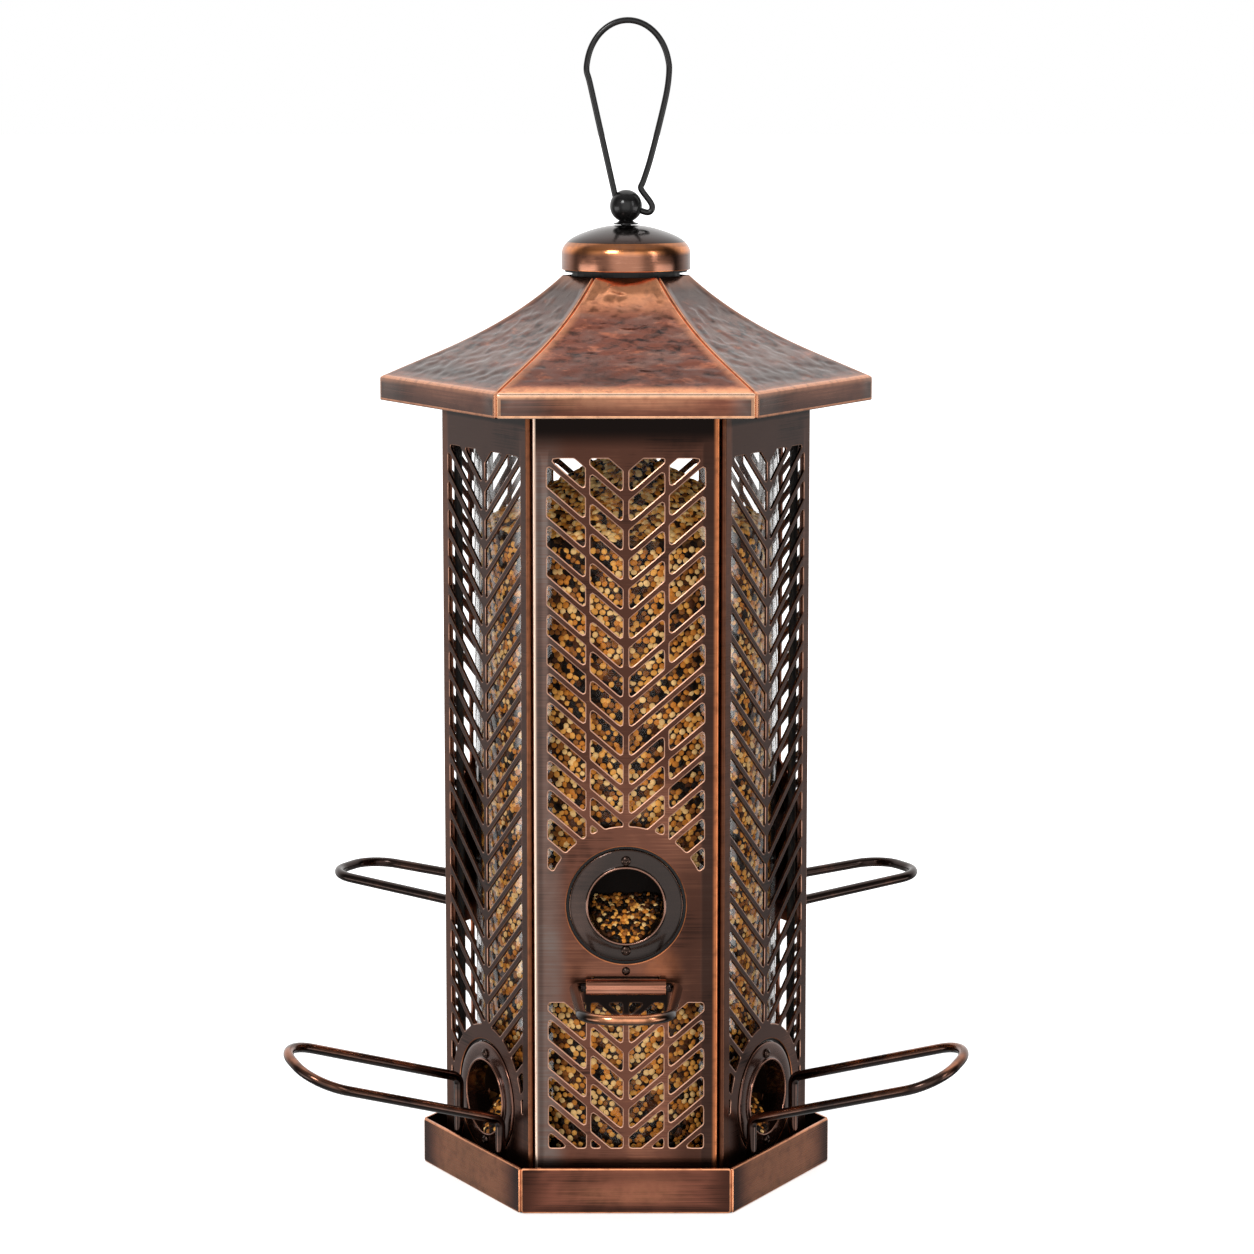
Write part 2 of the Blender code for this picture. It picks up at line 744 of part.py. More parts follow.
# --------------------------------------------------------------------- base
def base():
    outer, floor = TRAY_CORNER_R * C30, TRAY_FLOOR
    wall = outer - TRAY_WALL
    tray = add_object(
        "base_tray",
        *hexagon_turned([(0, 0), (outer, 0), (outer, TRAY_H), (wall, TRAY_H), (wall, floor), (0, floor)]),
        TRAY_COPPER, smooth=0,
    )
    for i in range(6):
        a = math.radians(60 * i)
        along, across = Vector((math.cos(a), math.sin(a))), Vector((-math.sin(a), math.cos(a)))
        loop = []
        for u, v in ((72, -1), (84, -1), (84, 1), (72, 1)):
            p = along * u + across * (v * TRAY_SEAM / 2)
            loop.append((p.x, p.y))
        boolean(
            tray,
            helper(add_object("seam_form_%d" % i, *slab(loop, [], floor + 0.4, 20, flat_z), TRAY_COPPER, smooth=0)),
            "DIFFERENCE",
        )
    for k in range(6):
        turn = math.radians(60 * k)
        for side in (-1, 1):
            word = "%d_%d" % (k, side + 1)
            if k in LOWER:
                at = (side * LOWER_PERCH_HALF, -BODY_APOTHEM - LOWER_PERCH_FOOT, 0)
                socket = helper(
                    add_object(
                        "socket_form_" + word,
                        *slab(circle(SOCKET_R, 10), [], floor - 0.6, SOCKET_TOP, flat_z),
                        TRAY_COPPER, at, turn, 0,
                    )
                )
                boolean(tray, socket, "UNION")
                low, radius = floor - 0.1, PERCH_WIRE_R + 0.3
            else:
                at = (side * 22.0, -64.9, 0)
                low, radius = -5, DRAIN_R
            hole = helper(
                add_object(
                    "floor_form_" + word,
                    *slab(circle(radius, 10), [], low, 20, flat_z),
                    TRAY_COPPER, at, turn, 0,
                )
            )
            boolean(tray, hole, "DIFFERENCE")

    rim = TUBE_R - TUBE_WALL - 0.55
    add_object(
        "seed_floor",
        *turned(
            [(0, 34.5), (rim, 14.8), (rim, 1.6), (rim - 2, 1.6), (rim - 2, 13.2), (0, 32.2)],
            ROUND_SIDES,
        ),
        BLACK_PLASTIC,
    )
    for i in range(6):
        a = math.radians(60 * i)
        name = "corner_post_" + ("right", "back_right", "back_left", "left", "front_left", "front_right")[i]
        add_object(
            name,
            *slab(circle(POST_R, 8), [], PANEL_Z[0], PANEL_Z[1], flat_z),
            BLACK_PLASTIC, (POST_RADIUS_AT, 0, 0), a,
        )


# ---------------------------------------------------------- tube and its seed
def tube_and_seed():
    inner = TUBE_R - TUBE_WALL
    for word, low, high in (
        ("lower", TUBE_Z[0], TUBE_SPLIT_Z - GAP / 2),
        ("upper", TUBE_SPLIT_Z + GAP / 2, TUBE_Z[1]),
    ):
        tube = add_object(
            "seed_tube_" + word,
            *turned([(TUBE_R, low), (TUBE_R, high), (inner, high), (inner, low)], ROUND_SIDES),
            CLEAR,
        )
        for form in TUBE_FORMS + SCREW_FORMS if word == "lower" else []:
            boolean(tube, form, "DIFFERENCE")
    fill_r = inner - 0.8
    seed = add_object(
        "seed_fill",
        *turned([(0, SEED_PEAK_Z), (fill_r, SEED_EDGE_Z), (fill_r, 15.5), (0, 35.2)], ROUND_SIDES),
        SEED,
    )
    for form in POCKET_FORMS:
        boolean(seed, form, "DIFFERENCE")
    bolts = []
    for k in range(6):
        z = UPPER.get(k) or LOWER[k]
        for side in (-1, 1):
            loop = [(-2.2, -2.2), (2.2, -2.2), (2.2, 2.2), (-2.2, 2.2)]
            bolts.append(
                helper(
                    add_object(
                        "clear_form_%d_%d" % (k, side),
                        *slab(loop, [], -64, -54.4, lambda u, v, w: (u, w, v)),
                        SEED, (0, 0, z + side * PORT_SCREW_OFFSET), math.radians(60 * k), 0,
                    )
                )
            )
    for form in bolts:
        boolean(seed, form, "DIFFERENCE")


# --------------------------------------------------------------------- roof
def roof_height(apothem):
    """Height of the roof's outer surface where its mid line is this far out."""
    u = (apothem / C30 - ROOF_TOP_R) / (ROOF_EDGE_R - ROOF_TOP_R)
    drop = u + u * (1 - u) * (0.65 - 0.45 * u)
    return ROOF_TOP_Z - (ROOF_TOP_Z - ROOF_EDGE_Z) * drop


def roof_offset(apothem, depth):
    """The point this deep under the roof's surface, at right angles to it."""
    step = 0.01
    slope = (roof_height(apothem + step) - roof_height(apothem - step)) / (2 * step)
    length = math.hypot(1, slope)
    return apothem + depth * slope / length, roof_height(apothem) - depth / length


def roof():
    edge = ROOF_EDGE_R * C30
    stations = [ROOF_SHEET_START + (edge - 1.6 - ROOF_SHEET_START) * i / 8 for i in range(9)]
    outer = [roof_offset(q, 0) for q in stations]
    inner = [roof_offset(q, SHEET) for q in stations]
    bend_z = outer[-1][1] - 1.3
    outer += [(edge - 0.45, outer[-1][1] - 0.35), (edge, bend_z), (edge, FASCIA_Z)]
    inner += [(edge - SHEET - 0.15, bend_z - 0.3), (edge - SHEET, bend_z - 0.8), (edge - SHEET, FASCIA_Z)]
    for k in range(6):
        points, rows = [], []
        for line in (outer, inner):
            row = []
            for q, z in line:
                half = q * T30 - ROOF_SEAM / C30
                row.append((len(points), len(points) + 1))
                points += [(-half, -q, z), (half, -q, z)]
            rows.append(row)
        faces = []
        for row in rows:
            faces += [(p[0], p[1], q[1], q[0]) for p, q in zip(row, row[1:])]
        for side in (0, 1):
            faces += [
                (p[side], q[side], s[side], r[side])
                for p, q, r, s in zip(rows[0], rows[0][1:], rows[1], rows[1][1:])
            ]
        for end in (0, -1):
            faces.append((rows[0][end][0], rows[0][end][1], rows[1][end][1], rows[1][end][0]))
        add_object("roof_panel_" + FACES[k], points, faces, HAMMERED, turn=math.radians(60 * k), smooth=40)

    stations = [21.0 + (78.6 - 21.0) * i / 6 for i in range(7)]
    shell = [roof_offset(q, SHEET + 0.4) for q in stations]
    lining = [roof_offset(q, SHEET + 2.0) for q in stations[:-1]]
    last = edge - SHEET - 1.0
    profile = [(14.0, shell[0][1])] + shell
    profile += [(last, shell[-1][1] - 0.7), (last, PLATE_Z[0]), (46.0, PLATE_Z[0]), (46.0, PLATE_Z[1]), (74.5, PLATE_Z[1])]
    profile += list(reversed(lining)) + [(14.0, lining[0][1])]
    frame = add_object("roof_frame", *hexagon_turned(profile), BLACK_PLASTIC, smooth=30)
    neck = helper(
        add_object(
            "neck_form",
            *turned([(0, 340.5), (NECK_R, 340.5), (NECK_R, NECK_Z), (0, NECK_Z)], 28),
            BLACK_PLASTIC, smooth=0,
        )
    )
    boolean(frame, neck, "UNION")
    skirt = helper(
        add_object(
            "skirt_form",
            *turned([(SKIRT_R[1], SKIRT_Z), (SKIRT_R[1], PLATE_Z[0] + 1), (SKIRT_R[0], PLATE_Z[0] + 1), (SKIRT_R[0], SKIRT_Z)], ROUND_SIDES),
            BLACK_PLASTIC, smooth=0,
        )
    )
    boolean(frame, skirt, "UNION")
    mouth = helper(
        add_object(
            "mouth_form",
            *turned([(0, 330), (NECK_BORE_R, 330), (NECK_BORE_R, 370), (0, 370)], 28),
            BLACK_PLASTIC, smooth=0,
        )
    )
    boolean(frame, mouth, "DIFFERENCE")
    well = helper(
        add_object(
            "well_form",
            *turned([(0, 296), (55.6, 296), (55.6, 308), (0, 308)], ROUND_SIDES),
            BLACK_PLASTIC, smooth=0,
        )
    )
    boolean(frame, well, "DIFFERENCE")


# ------------------------------------------------------------ cap and hanger
def lid():
    bore = STEM_R + 0.35
    add_object(
        "cap",
        *turned(
            [
                (bore, CAP_SEAT_Z),
                (5.4, CAP_SEAT_Z),
                (13.4, 363.3),
                (20.3, 360.1),
                (23.3, 357.7),
                (CAP_R, 355.2),
                (CAP_R, CAP_BOTTOM),
                (CAP_R - CAP_SHEET, CAP_BOTTOM),
                (CAP_R - CAP_SHEET, 355.1),
                (22.5, 357.1),
                (19.8, 359.3),
                (13.1, 362.4),
                (5.3, 364.0),
                (bore, 364.0),
            ],
            28,
        ),
        CAP_COPPER,
    )
    add_object(
        "cap_liner",
        *turned(
            [(bore, 356.2), (21.6, 356.2), (23.15, 354.3), (23.15, LINER_BOTTOM), (20.8, LINER_BOTTOM), (20.8, 354.9), (bore, 354.9)],
            28,
        ),
        BLACK_PLASTIC,
    )
    add_object(
        "stem_nut",
        *slab(circle(4.1, 6), [circle(bore, 12)], 351.6, 354.6, flat_z),
        FIXING, smooth=0,
    )
    add_object(
        "finial_stem",
        *turned(
            [(0, 350.6), (STEM_R, 350.6), (STEM_R, 365.2), (4.7, 365.2), (4.7, 365.7), (STEM_R, 365.7), (STEM_R, 368.8), (0, 368.8)],
            12,
        ),
        BLACK,
    )
    low = math.asin(BALL_BORE_R / BALL_R)
    arc = [
        (BALL_R * math.sin(a), BALL_Z - BALL_R * math.cos(a))
        for a in (low + (math.pi - low) * i / 9 for i in range(10))
    ]
    arc[-1] = (0, BALL_Z + BALL_R)
    ball = add_object(
        "finial_ball", *turned([(0, 369.1), (BALL_BORE_R, 369.1)] + arc, 18), BLACK
    )

    # The loop: its left leg runs straight into the ball's shoulder, and its
    # right leg hooks round the side of the ball before it turns in.
    left = [(-3.2, -0.2), (-4.2, 4.3), (-7.33, 18.2), (-10.47, 32.1), (-13.6, 46.0)]
    right = [(15.3, 42.6), (12.4, 30.0), (9.0, 17.0), (6.6, 9.6), (5.45, 6.6), (6.3, 5.3), (7.9, 3.2), (9.2, 1.4), (9.9, -0.2), (9.6, -1.6), (8.7, -2.3), (7.5, -2.2), (6.3, -1.9), (4.8, -1.5), (3.2, -1.1)]
    count = 14
    arch = []
    for i in range(count + 1):
        a = math.pi - math.pi * i / count
        arch.append((LOOP_X + LOOP_HALF * math.cos(a), LOOP_WIDEST + (LOOP_TOP - LOOP_WIDEST) * math.sin(a)))
    path = [(x, 0, z) for x, z in left + arch + right]
    wire("hanger_wire", path, HANGER_WIRE_R, BLACK, (0, 0, BALL_Z))

    # A blind hole for each end of the wire.
    for word, end, way in (("left", left[0], left[1]), ("right", right[-1], right[-2])):
        dx, dz = way[0] - end[0], way[1] - end[1]
        length = math.hypot(dx, dz)
        dx, dz = dx / length, dz / length
        hole, faces = turned([(0, -0.35), (WIRE_HOLE_R, -0.35), (WIRE_HOLE_R, 9), (0, 9)], 10, start=0.17)
        points = [(end[0] + x * dz + h * dx, y, end[1] - x * dx + h * dz) for x, y, h in hole]
        boolean(
            ball,
            helper(add_object("hole_form_" + word, points, faces, BLACK, (0, 0, BALL_Z), 0, 0)),
            "DIFFERENCE",
        )


SCREW_FORMS, POCKET_FORMS, TUBE_FORMS = [], [], []
for k in range(6):
    side_panel(k)
    port(k)
    if k in UPPER:
        upper_perch(k)
    else:
        lower_perch(k)
base()
tube_and_seed()
roof()
lid()
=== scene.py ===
import math
import random

import bpy
import bmesh
import numpy as np
from mathutils import Matrix, Vector
from mathutils.geometry import delaunay_2d_cdt


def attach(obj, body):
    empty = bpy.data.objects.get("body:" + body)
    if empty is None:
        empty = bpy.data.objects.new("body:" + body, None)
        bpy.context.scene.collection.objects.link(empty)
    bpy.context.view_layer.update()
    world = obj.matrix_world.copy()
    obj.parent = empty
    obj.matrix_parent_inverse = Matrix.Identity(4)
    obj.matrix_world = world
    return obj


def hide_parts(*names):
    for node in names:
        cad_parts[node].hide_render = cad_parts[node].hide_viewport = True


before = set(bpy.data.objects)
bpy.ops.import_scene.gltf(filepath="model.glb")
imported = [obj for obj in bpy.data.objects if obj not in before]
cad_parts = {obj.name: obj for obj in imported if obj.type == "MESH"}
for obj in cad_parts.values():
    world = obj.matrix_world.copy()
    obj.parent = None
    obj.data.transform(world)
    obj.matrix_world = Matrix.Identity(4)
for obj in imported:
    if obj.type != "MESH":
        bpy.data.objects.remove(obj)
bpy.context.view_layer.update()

# Millimetres in the lists below; add() turns them into metres. Every piece of
# a face is made in that face's own frame, where the face looks along -Y, and
# its object is turned about Z.
MM = 0.001
C30, T30 = math.cos(math.radians(30)), math.tan(math.radians(30))
FACES = ("front", "front_right", "back_right", "back", "back_left", "front_left")
UPPER = {0: 116.0, 2: 130.2, 4: 130.2}
LOWER = {1: 34.5, 3: 34.5, 5: 34.5}
APOTHEM = 61.488
FACE_Y = -APOTHEM
rng = np.random.default_rng(11)


# ------------------------------------------------------------------ camera
camera = bpy.data.cameras.new("camera")
camera.lens, camera.sensor_width = 105.51, 36.0
camera.clip_start, camera.clip_end = 0.05, 60
view = bpy.data.objects.new("camera", camera)
view.location = (0.00037, -1.39554, 0.416934)
view.rotation_euler = (math.radians(90 - 8.3765), 0, 0)
bpy.context.scene.collection.objects.link(view)
bpy.context.scene.camera = view
bpy.context.scene.view_settings.view_transform = "Standard"
bpy.context.scene.view_settings.look = "None"


# --------------------------------------------------------------- materials
class Graph:
    """A short way to write a material's nodes. Numbers and colours that vary
    over the surface are sockets; the rest sit on the shader itself."""

    def __init__(self, name):
        self.mat = bpy.data.materials.new(name)
        self.mat.use_nodes = True
        self.tree = self.mat.node_tree
        self.shader = self.tree.nodes["Principled BSDF"]
        self.where = self.node("ShaderNodeTexCoord").outputs["Object"]

    def node(self, kind, **fields):
        made = self.tree.nodes.new(kind)
        for key, value in fields.items():
            setattr(made, key, value)
        return made

    def put(self, socket, value):
        if isinstance(value, bpy.types.NodeSocket):
            self.tree.links.new(value, socket)
        elif value is not None:
            if socket.type == "RGBA" and len(value) == 3:
                value = (*value, 1.0)
            socket.default_value = value

    def set(self, **values):
        for key, value in values.items():
            self.put(self.shader.inputs[key.replace("_", " ")], value)
        return self

    def math(self, operation, a, b=None, c=None, clamp=False):
        made = self.node("ShaderNodeMath", operation=operation, use_clamp=clamp)
        for socket, value in zip(made.inputs, (a, b, c)):
            self.put(socket, value)
        return made.outputs[0]

    def axis(self, letter, where=None):
        split = self.node("ShaderNodeSeparateXYZ")
        self.put(split.inputs[0], where or self.where)
        return split.outputs[letter.upper()]

    def scaled(self, factors, where=None, shift=(0, 0, 0)):
        made = self.node("ShaderNodeMapping")
        self.put(made.inputs["Vector"], where or self.where)
        made.inputs["Scale"].default_value = factors
        made.inputs["Location"].default_value = shift
        return made.outputs[0]

    def noise(self, where, scale=1.0, detail=3.0, rough=0.55, distortion=0.0):
        made = self.node("ShaderNodeTexNoise")
        self.put(made.inputs["Vector"], where)
        made.inputs["Scale"].default_value = scale
        made.inputs["Detail"].default_value = detail
        made.inputs["Roughness"].default_value = rough
        made.inputs["Distortion"].default_value = distortion
        return made.outputs[0]

    def voronoi(self, where, scale, feature="F1", randomness=1.0):
        made = self.node("ShaderNodeTexVoronoi", feature=feature)
        self.put(made.inputs["Vector"], where)
        made.inputs["Scale"].default_value = scale
        made.inputs["Randomness"].default_value = randomness
        return made

    def span(self, value, low, high, to_low=0.0, to_high=1.0, smooth=True):
        made = self.node("ShaderNodeMapRange", interpolation_type="SMOOTHSTEP" if smooth else "LINEAR")
        self.put(made.inputs["Value"], value)
        for key, number in (("From Min", low), ("From Max", high), ("To Min", to_low), ("To Max", to_high)):
            made.inputs[key].default_value = number
        return made.outputs[0]

    def mix(self, share, a, b, blend="MIX"):
        made = self.node("ShaderNodeMix", data_type="RGBA", blend_type=blend)
        self.put(made.inputs[0], share)
        self.put(made.inputs[6], a)
        self.put(made.inputs[7], b)
        return made.outputs[2]

    def ramp(self, value, stops, constant=False):
        made = self.node("ShaderNodeValToRGB")
        ramp = made.color_ramp
        ramp.interpolation = "CONSTANT" if constant else "LINEAR"
        while len(ramp.elements) < len(stops):
            ramp.elements.new(0.5)
        for element, (at, colour) in zip(ramp.elements, stops):
            element.position = at
            element.color = (*colour, 1.0)
        self.put(made.inputs[0], value)
        return made.outputs[0]

    def fold(self):
        """Position along the face of the six-sided body that a point is on."""
        x, y = self.axis("x"), self.axis("y")
        turn = self.math("ARCTAN2", x, self.math("MULTIPLY", y, -1.0))
        whole = self.math("MULTIPLY", self.math("ROUND", self.math("DIVIDE", turn, math.pi / 3)), math.pi / 3)
        radius = self.math("SQRT", self.math("ADD", self.math("MULTIPLY", x, x), self.math("MULTIPLY", y, y)))
        return self.math("MULTIPLY", radius, self.math("SINE", self.math("SUBTRACT", turn, whole)))

    def attribute(self, name):
        return self.node("ShaderNodeAttribute", attribute_name=name).outputs["Fac"]

    def bump(self, height, distance, strength=1.0, normal=None):
        made = self.node("ShaderNodeBump")
        made.inputs["Strength"].default_value = strength
        made.inputs["Distance"].default_value = distance
        self.put(made.inputs["Height"], height)
        if normal is not None:
            self.put(made.inputs["Normal"], normal)
        self.put(self.shader.inputs["Normal"], made.outputs[0])
        return made.outputs[0]


BLACK = (0.006, 0.0028, 0.002)    # painted shade and heavy oxide
DARK = (0.030, 0.014, 0.010)      # oxidised brown
BROWN = (0.155, 0.061, 0.039)     # antique copper
WARM = (0.300, 0.122, 0.072)      # copper where the patina is thin
BRIGHT = (0.80, 0.345, 0.175)      # bare copper at worn edges, also their painted highlights
STEELY = (0.190, 0.148, 0.131)     # burnished grey, also a painted grey sheen
ORANGE = (0.68, 0.225, 0.085)      # freshly worn copper, also the panels' painted highlights
PALE = (1.0, 0.74, 0.58)           # pale painted edge highlight


def antique(name, brush, patch=22.0, dark=DARK, brown=BROWN, warm=WARM, bright=BRIGHT, wear_and_highlight=None, shade=None, black=BLACK, pale=None, under=None, steel=None, roughness=0.34, bump=0.00002, coat=0.1, cloud=(1, 1, 1)):
    """Antique copper: dark oxide, brown and thin patches, brushed along one
    direction. Masks, given as functions of the graph, mix in bright copper for
    worn edges and painted highlights, near-black for painted shade and heavy
    oxide, a burnished grey that also paints a grey sheen, pale painted
    highlights, and painted shade under things."""
    g = Graph(name)
    fine = g.noise(g.scaled(brush), 1.0, 4.0, 0.7)
    finer = g.noise(g.scaled(tuple(3.1 * v for v in brush)), 1.0, 2.0, 0.6)
    streak = g.math("MULTIPLY_ADD", fine, 0.5, g.math("MULTIPLY", finer, 0.5))
    blotch = g.noise(g.scaled(cloud), patch, 4.0, 0.6, 0.4)
    tone = g.math("MULTIPLY_ADD", g.span(streak, 0.22, 0.78), 0.44, g.math("MULTIPLY", g.span(blotch, 0.28, 0.72), 0.56))
    base = g.ramp(tone, [(0.14, dark), (0.42, brown), (0.60, brown), (0.88, warm)])
    # Burnished grey, partly a painted grey sheen.
    if steel is not None:
        share = g.math("MULTIPLY", steel(g), g.span(tone, 0.35, 0.75, 0.45, 1.0))
        base = g.mix(share, base, STEELY)
    # Near-black: painted shade, and heavy oxide in the roof's dents.
    if shade is not None:
        base = g.mix(shade(g), base, black)
    # Bright copper on edges and under the wear masks: worn copper and painted highlights.
    rub_and_highlight = g.attribute("rim")
    if wear_and_highlight is not None:
        rub_and_highlight = g.math("MAXIMUM", rub_and_highlight, wear_and_highlight(g))
    rub_and_highlight = g.math("MULTIPLY", rub_and_highlight, g.span(g.noise(g.scaled((1, 1, 1)), 260.0, 3.0), 0.25, 0.6, 0.55, 1.0))
    base = g.mix(rub_and_highlight, base, bright)
    # Pale painted highlights.
    if pale is not None:
        base = g.mix(pale(g), base, PALE)
    # Painted shade under things.
    if under is not None:
        base = g.mix(under(g), base, black)
    g.set(Base_Color=base, Metallic=1.0, Coat_Weight=coat, Coat_Roughness=0.16)
    g.put(g.shader.inputs["Roughness"], g.math("MULTIPLY_ADD", streak, 0.22, roughness - 0.11))
    g.bump(streak, bump)
    return g.mat


def panel_fold_highlight(g):
    """A painted highlight: a wide glow on the right fold, and a painted reflection glowing right of the hinge."""
    dx, dz = g.math("ADD", g.axis("x"), -0.0125), g.math("ADD", g.axis("z"), -0.0930)
    away = g.math("SQRT", g.math("ADD", g.math("MULTIPLY", dx, dx), g.math("MULTIPLY", dz, dz)))
    return g.math("MAXIMUM", g.span(g.axis("x"), 0.0318, 0.0337), g.span(away, 0.0100, 0.0010, 0.0, 0.30))


def panel_line_highlight(g):
    """A pale painted highlight on the left fold."""
    return g.span(g.axis("x"), -0.0329, -0.0333, 0.0, 0.95)


def panel_shade(g):
    """Painted shade: a painted shadow under the roof and under the hinge, a
    darker right margin and a darker patch right of the port, a darker strip
    inside the left fold, and darker over the bars in the upper half and
    towards the foot."""
    x, z = g.axis("x"), g.axis("z")
    side = g.math("ABSOLUTE", x)
    top = g.span(z, 0.2790, 0.2930, 0.0, 1.0)
    foot = g.span(z, 0.022, 0.008, 0.0, 0.6)
    margin = g.span(x, 0.0262, 0.0288, 0.0, 0.76)
    inner = g.math("MULTIPLY", g.span(x, -0.0300, -0.0316, 0.0, 0.38), g.span(x, -0.0328, -0.0322))
    field = g.math("MULTIPLY", g.span(side, 0.0292, 0.0280, 0.0, 0.50), g.span(z, 0.150, 0.175, 0.0, 1.0))
    low_right = g.math("MULTIPLY", g.span(x, 0.012, 0.024, 0.0, 0.55), g.span(z, 0.150, 0.120))
    under_hinge = g.math("MULTIPLY", g.span(side, 0.0185, 0.0150, 0.0, 1.0), g.math("MULTIPLY", g.span(z, 0.0725, 0.0755), g.span(z, 0.0850, 0.0830)))
    return g.math("MAXIMUM", g.math("MAXIMUM", g.math("MAXIMUM", top, foot), g.math("MAXIMUM", margin, inner)), g.math("MAXIMUM", g.math("MAXIMUM", under_hinge, field), low_right))


# Worn copper and painted highlights along both folds of the side panels.
def side_fold_wear_and_highlight(g):
    x = g.axis("x")
    return g.math("MAXIMUM", g.span(x, 0.0326, 0.0334, 0.0, 0.30), g.span(x, -0.0284, -0.0302, 0.0, 0.13))


def side_shade(g):
    x, z = g.axis("x"), g.axis("z")
    side = g.math("ABSOLUTE", x)
    top = g.math("MAXIMUM", g.span(z, 0.2780, 0.2900, 0.0, 0.42), g.span(z, 0.2915, 0.2950, 0.0, 0.96))
    field = g.math("MULTIPLY", g.span(side, 0.0292, 0.0280, 0.0, 0.56), g.span(z, 0.050, 0.080, 0.25, 1.0))
    margin = g.span(side, 0.0288, 0.0300, 0.0, 0.40)
    fold = g.span(side, 0.0328, 0.0334, 0.0, 0.72)
    return g.math("MAXIMUM", g.math("MAXIMUM", top, fold), g.math("MAXIMUM", margin, field))


# Burnished grey on the margins that also paints a grey sheen, less towards the top.
def panel_steel(g):
    x = g.axis("x")
    left = g.span(x, -0.0205, -0.0285, 0.0, 1.0)
    right = g.span(x, 0.0270, 0.0290, 0.0, 0.25)
    return g.math("MULTIPLY", g.math("MAXIMUM", left, right), g.span(g.axis("z"), 0.289, 0.279, 0.35, 1.0))


PANEL = antique("antique_copper_panel", (13, 13, 1050), bright=ORANGE, wear_and_highlight=panel_fold_highlight, shade=panel_shade, steel=panel_steel, pale=panel_line_highlight, roughness=0.31)
PANEL_SIDE = antique("antique_copper_side_panel", (13, 13, 1050), brown=(0.150, 0.070, 0.050), warm=(0.27, 0.125, 0.082), bright=ORANGE, wear_and_highlight=side_fold_wear_and_highlight, shade=side_shade, roughness=0.31)


def rim_hinge_shadow(g):
    """The painted shadow under the hinge also covers the edges of the bars there."""
    side, z = g.math("ABSOLUTE", g.axis("x")), g.axis("z")
    return g.math("MULTIPLY", g.span(side, 0.0185, 0.0150, 0.0, 0.93), g.math("MULTIPLY", g.span(z, 0.0735, 0.0750), g.span(z, 0.0850, 0.0830)))


# Bright copper on the edges of the openings: worn edges with painted highlights.
RIM = antique("lattice_edge_copper", (160, 160, 900), under=rim_hinge_shadow, dark=(0.40, 0.20, 0.13), brown=(0.70, 0.38, 0.26), warm=(0.90, 0.54, 0.38), bright=(0.90, 0.50, 0.34), roughness=0.30, coat=0.2)
# A darker copy for the side panels: painted shade.
RIM_SIDE = antique("lattice_edge_shaded_copper", (160, 160, 900), dark=(0.12, 0.062, 0.042), brown=(0.26, 0.13, 0.09), warm=(0.38, 0.20, 0.14), bright=(0.42, 0.22, 0.15), roughness=0.30, coat=0.2)


# Burnished grey towards the ends that also paints a grey sheen.
def fascia_steel(g):
    return g.math("MAXIMUM", g.span(g.axis("x"), -0.022, -0.038, 0.0, 0.95), g.span(g.axis("x"), 0.035, 0.045, 0.0, 0.85))


# Painted highlights: a glow in the middle, a line along the bottom and the top bend.
def fascia_highlight(g):
    side, z = g.math("ABSOLUTE", g.axis("x")), g.axis("z")
    middle = g.math("MULTIPLY", g.span(side, 0.036, 0.012, 0.0, 0.22), g.span(z, 0.3000, 0.3060))
    low = g.span(z, 0.2999, 0.2991, 0.0, 0.30)
    return g.math("MAXIMUM", g.math("MAXIMUM", middle, low), g.span(z, 0.3052, 0.3074, 0.0, 1.0))


def fascia_shade(g):
    side, z = g.math("ABSOLUTE", g.axis("x")), g.axis("z")
    low = g.span(z, 0.3050, 0.3002, 0.0, 0.34)
    ends = g.math("MULTIPLY", g.span(side, 0.0400, 0.0455, 0.0, 0.45), g.span(z, 0.3070, 0.3050))
    return g.math("MAXIMUM", low, ends)


def roof_steel(g):
    patch = g.noise(g.scaled((0.55, 1.1, 1.1)), 95.0, 3.0, 0.5, 0.3)
    return g.span(patch, 0.49, 0.64, 0.0, 0.46)


def roof_edge(g):
    y = g.math("ABSOLUTE", g.axis("y"))
    return g.math("SUBTRACT", g.math("MULTIPLY", y, T30), g.math("ABSOLUTE", g.axis("x")))


def roof_wear_and_highlight(g):
    """Thin patina with a painted highlight towards the sheet's long edges, its upper end and its bend."""
    z = g.axis("z")
    edge = g.math("MAXIMUM", g.span(roof_edge(g), 0.0050, 0.0010, 0.0, 0.40), g.span(roof_edge(g), 0.0014, 0.0006, 0.0, 0.85))
    upper = g.span(z, 0.3310, 0.3425, 0.0, 0.92)
    bend = g.span(z, 0.3106, 0.3085, 0.0, 0.90)
    return g.math("MAXIMUM", edge, g.math("MAXIMUM", upper, bend))


# Pale painted highlight lines on the top bend and the bottom edge.
def fascia_highlight_lines(g):
    z = g.axis("z")
    return g.math("MAXIMUM", g.span(z, 0.3064, 0.3075, 0.0, 0.60), g.span(z, 0.2994, 0.2989, 0.0, 0.50))


# Thin patina and weaker painted highlights on the side sheets: long edges, upper end and bend.
def roof_side_wear_and_highlight(g):
    z = g.axis("z")
    edge = g.span(roof_edge(g), 0.0042, 0.0006, 0.0, 0.42)
    upper = g.span(z, 0.3400, 0.3460, 0.0, 0.25)
    bend = g.span(z, 0.3096, 0.3083, 0.0, 0.50)
    return g.math("MAXIMUM", edge, g.math("MAXIMUM", upper, bend))


# Burnished grey patches that also paint a grey sheen, stronger than on the front sheet.
def roof_side_steel(g):
    patch = g.noise(g.scaled((0.55, 1.1, 1.1)), 95.0, 3.0, 0.5, 0.3)
    return g.span(patch, 0.42, 0.60, 0.0, 0.75)


